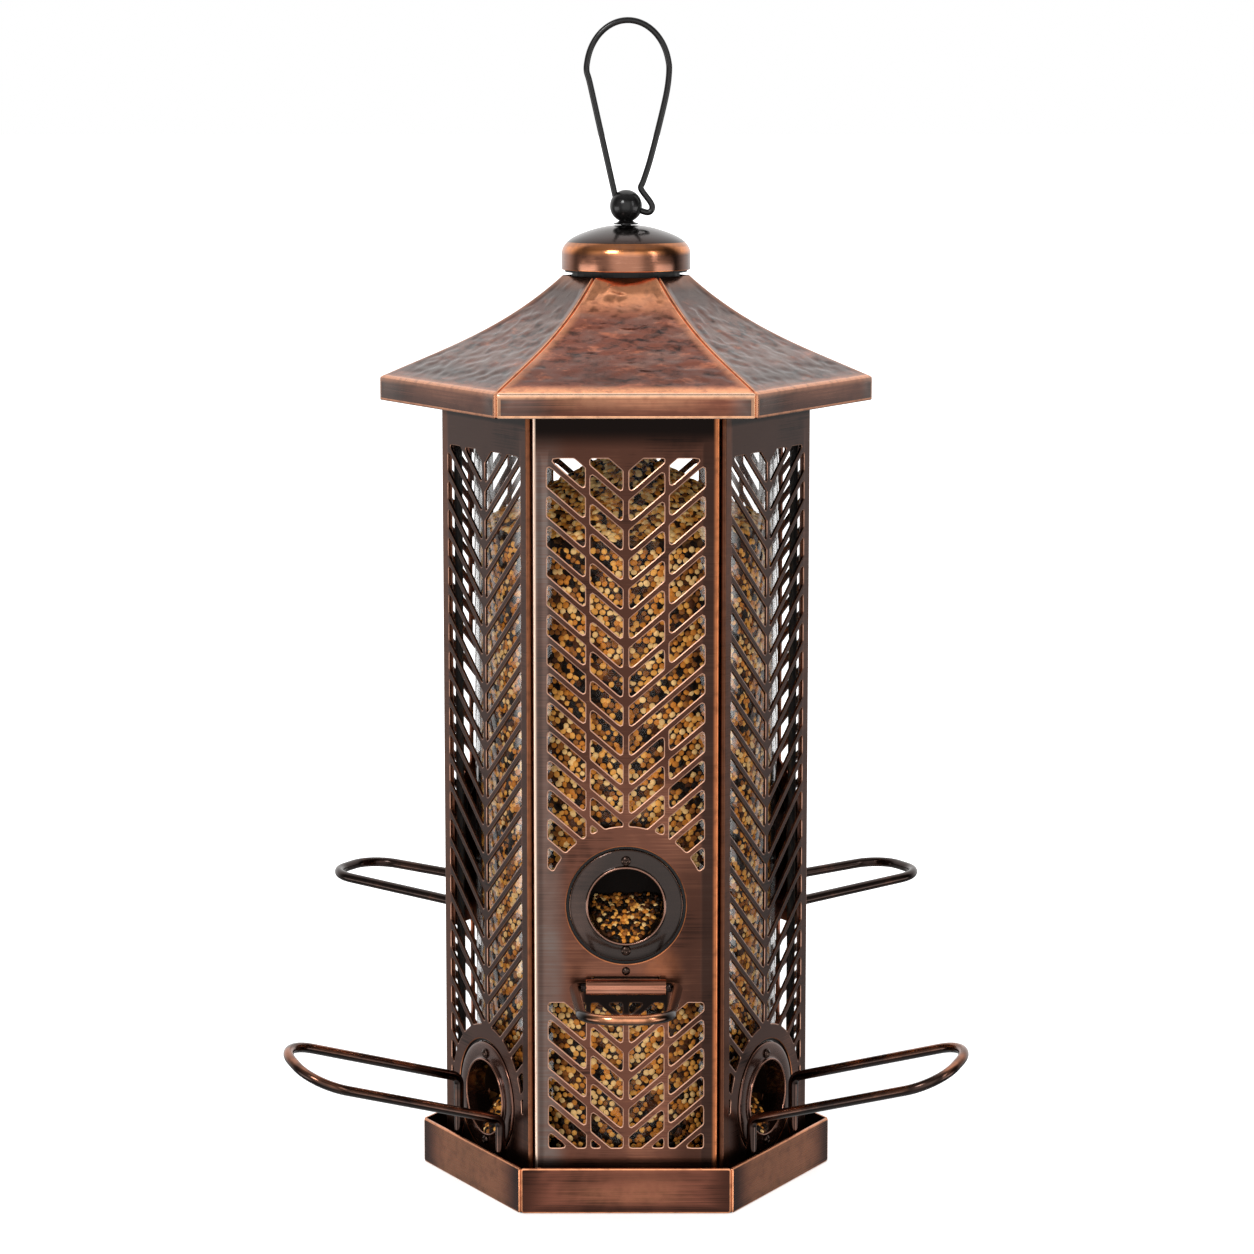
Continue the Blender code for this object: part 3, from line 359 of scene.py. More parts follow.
# A weaker copy of the front fascia's painted highlights for the side fascias.
def fascia_side_highlight(g):
    return g.math("MULTIPLY", fascia_highlight(g), 0.38)


def roof_side_shade(g):
    """Darker than the front sheet: above the bend, near the seams and under the cap."""
    z = g.axis("z")
    band = g.math("MULTIPLY", g.span(z, 0.3170, 0.3125, 0.0, 0.55), g.span(z, 0.3096, 0.3108))
    upper = g.span(z, 0.3260, 0.3400, 0.0, 0.55)
    seam = g.math("MULTIPLY", g.span(roof_edge(g), 0.0075, 0.0025, 0.0, 0.40), g.span(roof_edge(g), 0.0008, 0.0016))
    dents = g.noise(g.scaled((0.5, 1.0, 1.0)), 170.0, 3.0, 0.6, 0.5)
    return g.math("MAXIMUM", g.math("MAXIMUM", band, seam), g.math("MAXIMUM", upper, g.span(dents, 0.50, 0.66, 0.0, 0.62)))


def roof_shade(g):
    """Oxide in the dents, and a darker soft band above the bend."""
    z = g.axis("z")
    band = g.math("MULTIPLY", g.span(z, 0.3190, 0.3135, 0.0, 0.30), g.span(z, 0.3100, 0.3118))
    dents = g.noise(g.scaled((0.5, 1.0, 1.0)), 170.0, 3.0, 0.6, 0.5)
    return g.math("MAXIMUM", band, g.math("MULTIPLY", g.span(dents, 0.55, 0.72, 0.0, 0.62), g.span(z, 0.3420, 0.3350)))


ROOF = antique("hammered_copper", (110, 190, 190), patch=150.0, cloud=(0.55, 1.15, 1.15), dark=(0.022, 0.009, 0.007), brown=(0.195, 0.064, 0.041), warm=(0.46, 0.160, 0.090), bright=(1.0, 0.42, 0.21), roughness=0.21, steel=roof_steel, wear_and_highlight=roof_wear_and_highlight, shade=roof_shade, coat=0.15)
FASCIA = antique("fascia_copper", (13, 13, 1050), dark=(0.045, 0.018, 0.012), brown=(0.185, 0.066, 0.043), warm=(0.36, 0.135, 0.080), bright=(1.0, 0.52, 0.29), roughness=0.25, steel=fascia_steel, wear_and_highlight=fascia_highlight, shade=fascia_shade, pale=fascia_highlight_lines)
# The side sectors and fascias: copies of the front's, darker, with more painted grey sheen and weaker painted
# highlights.
ROOF_SIDE = antique("hammered_copper_side", (110, 190, 190), patch=150.0, cloud=(0.55, 1.15, 1.15), dark=(0.018, 0.008, 0.006), brown=(0.180, 0.065, 0.043), warm=(0.44, 0.160, 0.094), bright=(0.90, 0.38, 0.20), roughness=0.22, steel=roof_side_steel, wear_and_highlight=roof_side_wear_and_highlight, shade=roof_side_shade, coat=0.15)
FASCIA_SIDE = antique("fascia_copper_side", (13, 13, 1050), dark=(0.040, 0.018, 0.013), brown=(0.150, 0.062, 0.043), warm=(0.27, 0.115, 0.075), bright=(0.80, 0.36, 0.20), roughness=0.25, steel=fascia_steel, wear_and_highlight=fascia_side_highlight, shade=fascia_shade)


def tray_painted_glow(g):
    """A painted glow in the middle of each wall, broken up by noise, and painted light on the side walls."""
    z, side = g.axis("z"), g.math("ABSOLUTE", g.fold())
    glow_breakup = g.noise(g.scaled((1, 1, 2.4)), 42.0, 2.0)
    middle = g.math("MULTIPLY", g.span(side, 0.030, 0.008, 0.0, 0.13), g.math("MULTIPLY", g.span(z, 0.0020, 0.0062), g.span(z, 0.0150, 0.0095, 0.25, 1.0)))
    beside = g.math("MULTIPLY", g.span(g.axis("y"), -0.0675, -0.0640, 0.0, 0.42), g.span(side, 0.037, 0.020))
    return g.math("MAXIMUM", beside, g.math("MULTIPLY", middle, g.span(glow_breakup, 0.35, 0.6, 0.4, 1.0)))


def tray_shade(g):
    z, side = g.axis("z"), g.math("ABSOLUTE", g.fold())
    ends = g.span(side, 0.026, 0.0385, 0.0, 0.72)
    foot = g.span(z, 0.0048, 0.0014, 0.0, 0.62)
    head = g.math("MULTIPLY", g.span(z, 0.0105, 0.0140, 0.0, 0.26), g.span(z, 0.0166, 0.0150))
    return g.math("MAXIMUM", ends, g.math("MAXIMUM", foot, head))


TRAY = antique("tray_copper", (13, 13, 1050), dark=(0.050, 0.018, 0.012), brown=(0.215, 0.074, 0.046), warm=(0.33, 0.120, 0.070), bright=(1.0, 0.42, 0.21), wear_and_highlight=tray_painted_glow, shade=tray_shade, roughness=0.28)
TRAY_INSIDE = antique("tray_floor_copper", (300, 300, 300), dark=(0.012, 0.007, 0.005), brown=(0.045, 0.022, 0.016), warm=(0.085, 0.038, 0.027), roughness=0.42, coat=0.0)


# Painted shade: the dome near-black for the dark it reflects, and the band darker towards its right and left.
def cap_painted_shade(g):
    x = g.axis("x")
    ends = g.math("MAXIMUM", g.span(x, 0.0100, 0.0210, 0.0, 0.60), g.span(x, -0.0170, -0.0240, 0.0, 0.25))
    return g.math("MAXIMUM", g.span(g.axis("z"), 0.3574, 0.3590, 0.0, 0.97), ends)


def cap_shoulder_highlight(g):
    """A painted highlight: a ring of bright copper on the shoulder, between the band and the dome."""
    return g.math("MULTIPLY", g.span(g.axis("z"), 0.3538, 0.3560, 0.0, 0.85), g.span(g.axis("z"), 0.3584, 0.3568))


CAP = antique("polished_copper", (60, 60, 2600), patch=30, dark=(0.14, 0.050, 0.028), brown=(0.36, 0.150, 0.088), warm=(0.60, 0.29, 0.19), bright=(1.0, 0.36, 0.12), black=(0.022, 0.010, 0.008), wear_and_highlight=cap_shoulder_highlight, shade=cap_painted_shade, roughness=0.17, coat=0.45)


def leaf_painted_shade(g):
    """Painted shade on the leaf behind the barrel."""
    y = FACE_Y / 1000
    return g.span(g.axis("y"), y - 0.0030, y - 0.0022, 0.0, 0.93)


BARREL = antique("hinge_copper", (30, 900, 900), brown=(0.52, 0.215, 0.135), warm=(0.74, 0.35, 0.235), dark=(0.24, 0.095, 0.058), under=leaf_painted_shade, roughness=0.21)


def perch_wear_and_highlight(g):
    """Bright copper along the middle of the far bar, stronger on top: worn metal and a painted highlight."""
    top = g.span(g.axis("z", g.node("ShaderNodeTexCoord").outputs["Normal"]), -0.3, 0.8, 0.0, 0.55)
    far = g.span(g.axis("y"), -0.112, -0.130, 0.05, 1.0)
    middle = g.span(g.math("ABSOLUTE", g.axis("x")), 0.0150, 0.0085, 0.0, 1.0)
    return g.math("MULTIPLY", g.math("ADD", top, 0.62), g.math("MULTIPLY", far, middle))


def perch_underside_shade(g):
    """Painted shade on the underside of the wire."""
    return g.span(g.axis("z", g.node("ShaderNodeTexCoord").outputs["Normal"]), -0.10, -0.60, 0.0, 0.92)


def low_perch_wear(g):
    top = g.span(g.axis("z", g.node("ShaderNodeTexCoord").outputs["Normal"]), -0.2, 0.8, 0.0, 0.45)
    rubbed = g.noise(g.where, 55.0, 2.0)
    return g.math("MULTIPLY", top, g.span(rubbed, 0.42, 0.60, 0.1, 1.0))


WIRE = antique("bronze_wire", (240, 240, 240), patch=60, dark=(0.008, 0.005, 0.004), brown=(0.020, 0.009, 0.007), warm=(0.045, 0.019, 0.013), bright=(0.95, 0.40, 0.20), wear_and_highlight=perch_wear_and_highlight, under=perch_underside_shade, roughness=0.20, coat=0.35)
WIRE_DARK = antique("oxidised_wire", (240, 240, 240), patch=60, dark=(0.010, 0.006, 0.005), brown=(0.030, 0.015, 0.011), warm=(0.075, 0.033, 0.022), roughness=0.22, coat=0.35)
WIRE_LOW = antique("worn_bronze_wire", (240, 240, 240), patch=60, dark=(0.010, 0.006, 0.005), brown=(0.034, 0.016, 0.011), warm=(0.085, 0.036, 0.023), bright=(0.80, 0.30, 0.15), wear_and_highlight=low_perch_wear, under=perch_underside_shade, roughness=0.18, coat=0.5)


def gunmetal(name="gunmetal_moulding", lower=False):
    g = Graph(name)
    grain = g.noise(g.scaled((40, 1400, 1400)), 1.0, 4.0, 0.6)
    spot = g.noise(g.where, 60.0, 3.0)
    base = g.ramp(g.math("MULTIPLY_ADD", grain, 0.5, g.math("MULTIPLY", spot, 0.5)), [(0.3, (0.024, 0.014, 0.011)), (0.7, (0.092, 0.053, 0.041))])
    if lower:
        base = g.ramp(g.math("MULTIPLY_ADD", grain, 0.5, g.math("MULTIPLY", spot, 0.5)), [(0.3, (0.050, 0.022, 0.015)), (0.7, (0.150, 0.064, 0.043))])
    else:
        # Painted shade: darker towards the ring's right side.
        base = g.mix(g.span(g.axis("x"), -0.0190, -0.0050, 0.0, 0.76), base, (0.014, 0.009, 0.007))
    # Copper on the edges: a copper-tinted lip with painted highlights.
    base = g.mix(g.attribute("rim"), base, (0.34, 0.155, 0.10) if lower else (0.33, 0.170, 0.120))
    # Painted shade: darker where the moulding sits inside the panel.
    base = g.mix(g.span(g.axis("y"), -0.0600, -0.0585), base, (0.030, 0.015, 0.011))
    g.set(Base_Color=base, Metallic=0.9, Coat_Weight=0.5, Coat_Roughness=0.07)
    g.put(g.shader.inputs["Roughness"], g.span(grain, 0.2, 0.8, 0.14, 0.25))
    g.bump(grain, 0.00002)
    return g.mat


def enamel():
    g = Graph("gloss_black_enamel")
    peel = g.noise(g.where, 420.0, 2.0)
    g.set(Base_Color=g.mix(g.noise(g.where, 90.0, 3.0), (0.004, 0.004, 0.004), (0.010, 0.009, 0.009)), Metallic=0.0, Specular_IOR_Level=0.35, Coat_Weight=0.12, Coat_Roughness=0.06)
    g.put(g.shader.inputs["Roughness"], g.span(peel, 0.3, 0.7, 0.16, 0.26))
    g.bump(peel, 0.00003, 0.6)
    return g.mat


def black_moulding():
    g = Graph("black_moulding")
    grain = g.noise(g.where, 1500.0, 3.0, 0.7)
    g.set(Base_Color=g.mix(grain, (0.007, 0.006, 0.006), (0.017, 0.015, 0.014)), Specular_IOR_Level=0.3)
    g.put(g.shader.inputs["Roughness"], g.span(grain, 0.3, 0.7, 0.38, 0.55))
    g.bump(grain, 0.00004, 0.7)
    return g.mat


def hood():
    g = Graph("hood_moulding")
    grain = g.noise(g.where, 700.0, 3.0, 0.7)
    # Near-black and almost without gloss: the hood's colour also paints the shade inside the port.
    g.set(Base_Color=g.mix(grain, (0.003, 0.0015, 0.001), (0.010, 0.005, 0.003)), Specular_IOR_Level=0.05)
    g.put(g.shader.inputs["Roughness"], g.span(grain, 0.3, 0.7, 0.35, 0.5))
    g.bump(grain, 0.00003, 0.6)
    return g.mat


def fixing():
    g = Graph("dark_fixing_metal")
    grain = g.noise(g.where, 900.0, 3.0)
    g.set(Base_Color=g.mix(grain, (0.030, 0.020, 0.017), (0.11, 0.07, 0.055)), Metallic=1.0)
    g.put(g.shader.inputs["Roughness"], g.span(grain, 0.3, 0.7, 0.18, 0.32))
    return g.mat


def clear():
    g = Graph("clear_tube_plastic")
    haze = g.noise(g.scaled((1, 1, 0.35)), 70.0, 3.0, 0.6)
    facing = g.node("ShaderNodeLayerWeight")
    facing.inputs["Blend"].default_value = 0.5
    gloss = g.math("MULTIPLY_ADD", g.math("POWER", facing.outputs["Facing"], 4.0), 0.95, 0.004)
    g.set(Base_Color=(0.95, 0.96, 0.96), Metallic=1.0)
    g.put(g.shader.inputs["Roughness"], g.span(haze, 0.3, 0.7, 0.05, 0.12))
    # Painted reflection: more reflective bands on the tube's flanks, broken up by the haze.
    flank = g.span(g.math("ABSOLUTE", g.axis("x")), 0.0230, 0.0310, 0.0, 0.075)
    flank_reflection = g.math("MULTIPLY", flank, g.span(haze, 0.35, 0.62, 0.5, 1.0))
    g.put(g.shader.inputs["Alpha"], g.math("ADD", flank_reflection, g.math("MULTIPLY_ADD", haze, 0.006, gloss), clamp=True))
    return g.mat


def seed(name="mixed_seed", core=False):
    g = Graph(name)
    # The core is the seed seen between the grains, darkened as painted shade in the gaps.
    if core:
        tone = g.voronoi(g.where, 420.0).outputs["Color"]
        grain = g.node("ShaderNodeSeparateColor")
        g.put(grain.inputs[0], tone)
        kind = grain.outputs[0]
        base = g.ramp(kind, [(0.0, (0.007, 0.003, 0.0015)), (0.5, (0.045, 0.018, 0.006)), (0.8, (0.12, 0.050, 0.014))], True)
    else:
        kind = g.attribute("grain")
        base = g.ramp(
            kind,
            [
                (0.0, (0.008, 0.004, 0.002)),
                (0.09, (0.075, 0.022, 0.006)),
                (0.20, (0.320, 0.110, 0.020)),
                (0.38, (0.66, 0.232, 0.032)),
                (0.6, (0.9, 0.419, 0.087)),
                (0.82, (1, 0.637, 0.251)),
            ],
            True,
        )
    speck = g.noise(g.where, 900.0, 4.0, 0.7)
    base = g.mix(g.span(speck, 0.5, 0.85, 0.0, 0.35), base, (0.12, 0.05, 0.018))
    g.set(Base_Color=base, Specular_IOR_Level=0.16)
    g.put(g.shader.inputs["Roughness"], g.span(speck, 0.3, 0.7, 0.38, 0.6))
    g.bump(speck, 0.00012, 0.8)
    return g.mat


GUNMETAL_LOW = gunmetal("bronzed_moulding", True)
GUNMETAL, ENAMEL, MOULDING, HOOD, FIXING, CLEAR = gunmetal(), enamel(), black_moulding(), hood(), fixing(), clear()
SEED, SEED_SHADE_CORE = seed(), seed("seed_shade_core", True)


# ---------------------------------------------------------------- geometry
class Shape:
    """Points, faces, a material index and, for each face, a value that turns its edge to bright copper: worn edges and
    painted edge highlights.
    """

    def __init__(self):
        self.points, self.faces, self.index, self.rim = [], [], [], []

    def face(self, ids, index=0, rim=0.0):
        self.faces.append(tuple(ids))
        self.index.append(index)
        self.rim.append(rim)

    def grid(self, rows, closed=False, index=0, rims=None, flip=False):
        """rows of equally many points; rims gives a value for each step
        between two rows."""
        first = len(self.points)
        wide = len(rows[0])
        for row in rows:
            self.points += row
        for r in range(len(rows) - 1):
            for c in range(wide if closed else wide - 1):
                d = (c + 1) % wide
                ids = (first + r * wide + c, first + r * wide + d, first + (r + 1) * wide + d, first + (r + 1) * wide + c)
                self.face(reversed(ids) if flip else ids, index, rims[r] if rims else 0.0)

    def add(self, name, mats, body, replaces=(), slot=None, turn=0.0, smooth=35, outward=True):
        mesh = bpy.data.meshes.new(name)
        mesh.from_pydata([Vector(p) * MM for p in self.points], [], self.faces)
        for mat in mats:
            mesh.materials.append(mat)
        mesh.polygons.foreach_set("material_index", self.index)
        rim = mesh.attributes.new("rim", "FLOAT", "CORNER")
        values = np.repeat(np.array(self.rim, np.float32), [len(f) for f in self.faces])
        rim.data.foreach_set("value", values)
        if outward:
            bm = bmesh.new()
            bm.from_mesh(mesh)
            bmesh.ops.recalc_face_normals(bm, faces=bm.faces)
            bm.to_mesh(mesh)
            bm.free()
        if smooth:
            mesh.shade_smooth()
            mesh.set_sharp_from_angle(angle=math.radians(smooth))
        obj = bpy.data.objects.new(name, mesh)
        bpy.context.scene.collection.objects.link(obj)
        return place(obj, body, replaces, slot, turn)


def place(obj, body, replaces=(), slot=None, turn=0.0):
    obj.rotation_euler = (0, 0, turn)
    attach(obj, body)
    if replaces:
        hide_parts(*replaces)
    return obj


def lathe(shape, profile, segments, axis="Z", origin=(0, 0, 0), rims=None, index=0, closed=True):
    """Turns a profile of (radius, height) pairs about an axis."""
    rows = []
    for r, h in profile:
        row = []
        for i in range(segments):
            a = 2 * math.pi * i / segments
            x, y, z = r * math.cos(a), r * math.sin(a), h
            if axis == "Y":
                x, y, z = x, h, y
            elif axis == "X":
                x, y, z = h, x, y
            row.append((x + origin[0], y + origin[1], z + origin[2]))
        rows.append(row)
    if closed:
        rows.append(rows[0])
        rims = rims + [0.0] if rims and len(rims) < len(rows) - 1 else rims
    shape.grid(rows, True, index, rims)


def arc(cx, cy, r, a0, a1, steps):
    """Points of an arc, in degrees."""
    return [
        (cx + r * math.cos(math.radians(a0 + (a1 - a0) * i / steps)), cy + r * math.sin(math.radians(a0 + (a1 - a0) * i / steps)))
        for i in range(steps + 1)
    ]


def inside(point, loop):
    x, y = point
    hit = False
    for (x1, y1), (x2, y2) in zip(loop, loop[1:] + loop[:1]):
        if (y1 > y) != (y2 > y) and x < (x2 - x1) * (y - y1) / (y2 - y1) + x1:
            hit = not hit
    return hit


def triangulated(outline, holes):
    coords, edges = [], []
    for loop in [outline] + holes:
        first = len(coords)
        coords += [Vector(p) for p in loop]
        edges += [(first + i, first + (i + 1) % len(loop)) for i in range(len(loop))]
    found = delaunay_2d_cdt(coords, edges, [], 1, 1e-5)
    points = [tuple(p) for p in found[0]]
    boxes = [(min(p[0] for p in h), max(p[0] for p in h), min(p[1] for p in h), max(p[1] for p in h), h) for h in holes]
    kept = []
    for tri in found[2]:
        c = (sum(points[i][0] for i in tri) / 3, sum(points[i][1] for i in tri) / 3)
        if not inside(c, outline):
            continue
        if any(a < c[0] < b and d < c[1] < e and inside(c, h) for a, b, d, e, h in boxes):
            continue
        kept.append(tuple(tri))
    return points, kept


def signed_area(loop):
    return sum(p[0] * q[1] - q[0] * p[1] for p, q in zip(loop, loop[1:] + loop[:1])) / 2


def anticlockwise(loop):
    return loop if signed_area(loop) > 0 else loop[::-1]


def grown(loop, by):
    """An anticlockwise loop with its outline moved outwards."""
    out = []
    n = len(loop)
    for i in range(n):
        p, q, r = Vector(loop[i - 1]), Vector(loop[i]), Vector(loop[(i + 1) % n])
        a, b = (q - p).normalized(), (r - q).normalized()
        na, nb = Vector((a.y, -a.x)), Vector((b.y, -b.x))
        bisector = (na + nb).normalized()
        reach = by / max(0.5, bisector.dot(na))
        out.append(tuple(q + bisector * reach))
    return out


def filleted(loop, radius, steps=3):
    """A loop whose sharp corners are rounded as far as its sides allow."""
    out = []
    n = len(loop)
    for i in range(n):
        p, q, r = Vector(loop[i - 1]), Vector(loop[i]), Vector(loop[(i + 1) % n])
        a, b = p - q, r - q
        if a.length < 1e-6 or b.length < 1e-6:
            continue
        angle = a.angle(b)
        if angle > math.radians(158):
            out.append(tuple(q))
            continue
        reach = min(radius / math.tan(angle / 2), 0.42 * a.length, 0.42 * b.length)
        start, end = q + a.normalized() * reach, q + b.normalized() * reach
        for k in range(steps + 1):
            t = k / steps
            out.append(tuple(start * (1 - t) ** 2 + q * 2 * t * (1 - t) + end * t * t))
    return out


def clipped(loop, a, b, c):
    kept = []
    for p, q in zip(loop, loop[1:] + loop[:1]):
        dp, dq = a * p[0] + b * p[1] - c, a * q[0] + b * q[1] - c
        if dp <= 0:
            kept.append(p)
        if (dp < 0 < dq) or (dq < 0 < dp):
            t = dp / (dp - dq)
            kept.append((p[0] + t * (q[0] - p[0]), p[1] + t * (q[1] - p[1])))
    return kept


def outside_disc(loop, cz, radius, step=math.radians(4)):
    """A convex loop with the disc at (0, cz) taken out of it."""
    def distance(p):
        return math.hypot(p[0], p[1] - cz) - radius

    dense = []
    for p, q in zip(loop, loop[1:] + loop[:1]):
        for k in range(24):
            dense.append((p[0] + (q[0] - p[0]) * k / 24, p[1] + (q[1] - p[1]) * k / 24, k == 0))
    out = [d for d in dense if distance(d) >= 0]
    if not out or len(out) == len(dense):
        return loop if out else []
    start = next(i for i in range(len(dense)) if distance(dense[i]) < 0 <= distance(dense[(i + 1) % len(dense)]))
    walk = [dense[(start + 1 + i) % len(dense)] for i in range(len(dense))]

    def crossing(inner, outer):
        low, high = 0.0, 1.0
        for _ in range(30):
            mid = (low + high) / 2
            p = (inner[0] + (outer[0] - inner[0]) * mid, inner[1] + (outer[1] - inner[1]) * mid)
            low, high = (mid, high) if distance(p) < 0 else (low, mid)
        return p

    kept = [crossing(dense[start], walk[0])]
    end = kept[0]
    for i, p in enumerate(walk):
        if distance(p) < 0:
            end = crossing(p, walk[i - 1])
            break
        if p[2]:
            kept.append((p[0], p[1]))
    kept.append(end)
    a0, a1 = math.atan2(end[1] - cz, end[0]), math.atan2(kept[0][1] - cz, kept[0][0])
    sweep = (a1 - a0 + math.pi) % (2 * math.pi) - math.pi
    count = max(1, int(abs(sweep) / step))
    for k in range(1, count):
        a = a0 + sweep * k / count
        kept.append((radius * math.cos(a), cz + radius * math.sin(a)))
    return kept


def lattice(upper_z=None, lower_z=None):
    """Openings between the chevron's bars and its three upright ribs."""
    slope = math.tan(math.radians(41))
    bar = 2.15 / math.cos(math.radians(41)) / 2
    field, low_z, high_z, pitch = 28.9, 23.2, 282.5, 10.9
    found = []
    node = 278.4 + 3 * pitch
    while node > low_z - 4 * pitch:
        node -= pitch
        for side, rib in ((-1, 14.0), (1, 15.0)):
            columns = [(1.2, rib - 0.95), (rib + 0.95, field)]
            if lower_z is not None or (side == 1 and 166 < node < 184):
                columns = [(1.2, field)]
            for x0, x1 in columns:
                low, high = node + bar, node + pitch - bar
                cell = [(x0, low + x0 * slope), (x1, low + x1 * slope), (x1, high + x1 * slope), (x0, high + x0 * slope)]
                cell = clipped(cell, 0, 1, high_z)
                cell = clipped(cell, 0, -1, -low_z) if len(cell) > 2 else []
                if len(cell) < 3:
                    continue
                parts = []
                if upper_z is not None:
                    parts.append(clipped(cell, 0, 1, upper_z - 37.0))
                    above = clipped(cell, 0, -1, -upper_z)
                    if len(above) > 2:
                        parts.append(outside_disc(above, upper_z, 30.0))
                else:
                    above = clipped(cell, 0, -1, -lower_z)
                    if len(above) > 2:
                        parts.append(outside_disc(above, lower_z, 28.0))
                for part in parts:
                    clean = []
                    for p in part:
                        if not clean or math.dist(p, clean[-1]) > 0.25:
                            clean.append(p)
                    if len(clean) > 1 and math.dist(clean[0], clean[-1]) <= 0.25:
                        clean.pop()
                    if len(clean) > 2 and abs(signed_area(clean)) > 3.5:
                        loop = anticlockwise([(side * x, z) for x, z in clean])
                        found.append(filleted(loop, 1.15))
    return found


def pierced(shape, outline, holes, depth, place, cut=0.32, rim_index=1, plain=0):
    """A sheet with shallow chamfers round its openings. place(u, v, w) puts a
    point w deep."""
    holes = [anticlockwise(h) for h in holes]
    wide = [grown(h, cut) for h in holes]
    points, tris = triangulated(outline, wide)
    first = len(shape.points)
    shape.points += [place(u, v, 0.0) for u, v in points]
    for t in tris:
        shape.face([first + i for i in t])
    back, back_tris = triangulated(outline, holes)
    first_back = len(shape.points)
    shape.points += [place(u, v, depth) for u, v in back]
    for t in back_tris:
        shape.face([first_back + i for i in reversed(t)])
    for which, (loop, big) in enumerate(zip(holes, wide)):
        soft = which < plain
        n = len(loop)
        a = len(shape.points)
        shape.points += [place(u, v, 0.0) for u, v in big]
        shape.points += [place(u, v, 0.36 * cut) for u, v in loop]
        shape.points += [place(u, v, depth) for u, v in loop]
        for i in range(n):
            j = (i + 1) % n
            shape.face((a + i, a + j, a + n + j, a + n + i), 0 if soft else rim_index, 0.7 if soft else 1.0)
            shape.face((a + n + i, a + n + j, a + 2 * n + j, a + 2 * n + i), 0, 0.0)


def sweep(shape, path, radius, segments=20, index=0):
    """A round wire with domed ends along a path."""
    path = [Vector(p) for p in path]
    tangents = []
    for i in range(len(path)):
        a, b = path[max(0, i - 1)], path[min(len(path) - 1, i + 1)]
        tangents.append((b - a).normalized())
    up = Vector((0, 0, 1)) if abs(tangents[0].z) < 0.9 else Vector((0, 1, 0))
    side = tangents[0].cross(up).normalized()
    rows = []

    def ring(centre, tangent, r):
        nonlocal side
        side = (side - tangent * side.dot(tangent)).normalized()
        other = tangent.cross(side)
        return [
            tuple(centre + (side * math.cos(2 * math.pi * k / segments) + other * math.sin(2 * math.pi * k / segments)) * r)
            for k in range(segments)
        ]

    dome = 0.35 * radius
    for a in (80, 50, 20):
        t = math.radians(a)
        rows.append(ring(path[0] + tangents[0] * dome * (1 - math.sin(t)), tangents[0], radius * (1 - 0.35 + 0.35 * math.cos(t))))
    for p, t in zip(path[1:-1], tangents[1:-1]):
        rows.append(ring(p, t, radius))
    for a in (20, 50, 80):
        t = math.radians(a)
        rows.append(ring(path[-1] - tangents[-1] * dome * (1 - math.sin(t)), tangents[-1], radius * (1 - 0.35 + 0.35 * math.cos(t))))
    first = len(shape.points)
    shape.grid(rows, True, index)
    shape.face([first + k for k in reversed(range(segments))], index)
    last = len(shape.points) - segments
    shape.face([last + k for k in range(segments)], index)


def rounded_path(corners, radii, steps):
    corners = [Vector(c) for c in corners]
    path = [corners[0]]
    for i in range(1, len(corners) - 1):
        before, here, after = corners[i - 1], corners[i], corners[i + 1]
        a, b = (before - here).normalized(), (after - here).normalized()
        half = a.angle(b) / 2
        reach = radii[i - 1] / math.tan(half)
        centre = here + (a + b).normalized() * radii[i - 1] / math.sin(half)
        start = here + a * reach - centre
        turn = math.pi - 2 * half
        axis = start.cross(here + b * reach - centre).normalized()
        for k in range(steps + 1):
            path.append(centre + Matrix.Rotation(turn * k / steps, 3, axis) @ start)
    path.append(corners[-1])
    dense = [path[0]]
    for p, q in zip(path, path[1:]):
        count = max(1, int((q - p).length / 4.0))
        dense += [p.lerp(q, i / count) for i in range(1, count + 1)]
    return dense


def turn_of(k):
    return math.radians(60 * k)


# ------------------------------------------------------------- side panels
def side_panel(k):
    port_z = UPPER.get(k) or LOWER[k]
    hole = [(22.3 * math.cos(2 * math.pi * i / 72), port_z + 22.3 * math.sin(2 * math.pi * i / 72)) for i in range(72)]
    holes = [hole]
    if k in UPPER:
        holes += lattice(upper_z=port_z)
        top = port_z - 30.2 + 2.9
        holes.append([(-12.5, top - 1.0), (12.5, top - 1.0), (12.5, top + 0.4), (-12.5, top + 0.4)])
        holes.append([(1.15 * math.cos(math.pi * i / 8), port_z - 24.9 + 1.15 * math.sin(math.pi * i / 8)) for i in range(16)])
    else:
        holes += lattice(lower_z=port_z)
    x1, z0, z1 = 33.07, 1.6, 302.2
    s = Shape()
    pierced(s, [(-x1, z0), (x1, z0), (x1, z1), (-x1, z1)], holes, 0.9, lambda u, v, w: (u, FACE_Y + w, v), plain=1)
    for sx in (-1, 1):
        def section(radius):
            pts = [(x1 + px, FACE_Y + 1.1 + py) for px, py in arc(0, 0, radius, -90, 30, 8)]
            last = pts[-1]
            return pts + [(last[0] - 1.25, last[1] + 2.5 * C30)]
        outer, inner = section(1.1), section(0.2)
        loop = outer + inner[::-1]
        zs = [z0, z0 + 0.15] + [z0 + (z1 - z0) * i / 6 for i in range(1, 6)] + [z1 - 0.15, z1]
        rows = [[(sx * x, y, z) for x, y in loop] for z in zs]
        s.grid(rows, True)
        for z in (z0, z1):
            base = len(s.points)
            s.points += [(sx * x, y, z) for x, y in loop]
            n = len(outer)
            for i in range(n - 1):
                s.face((base + i, base + i + 1, base + 2 * n - 2 - i, base + 2 * n - 1 - i))
    name = FACES[k]
    s.add("panel_" + name, [PANEL, RIM] if k in UPPER else [PANEL_SIDE, RIM_SIDE], "feeder", ["side_panel_" + name], "antique_copper_sheet", turn_of(k), 32)


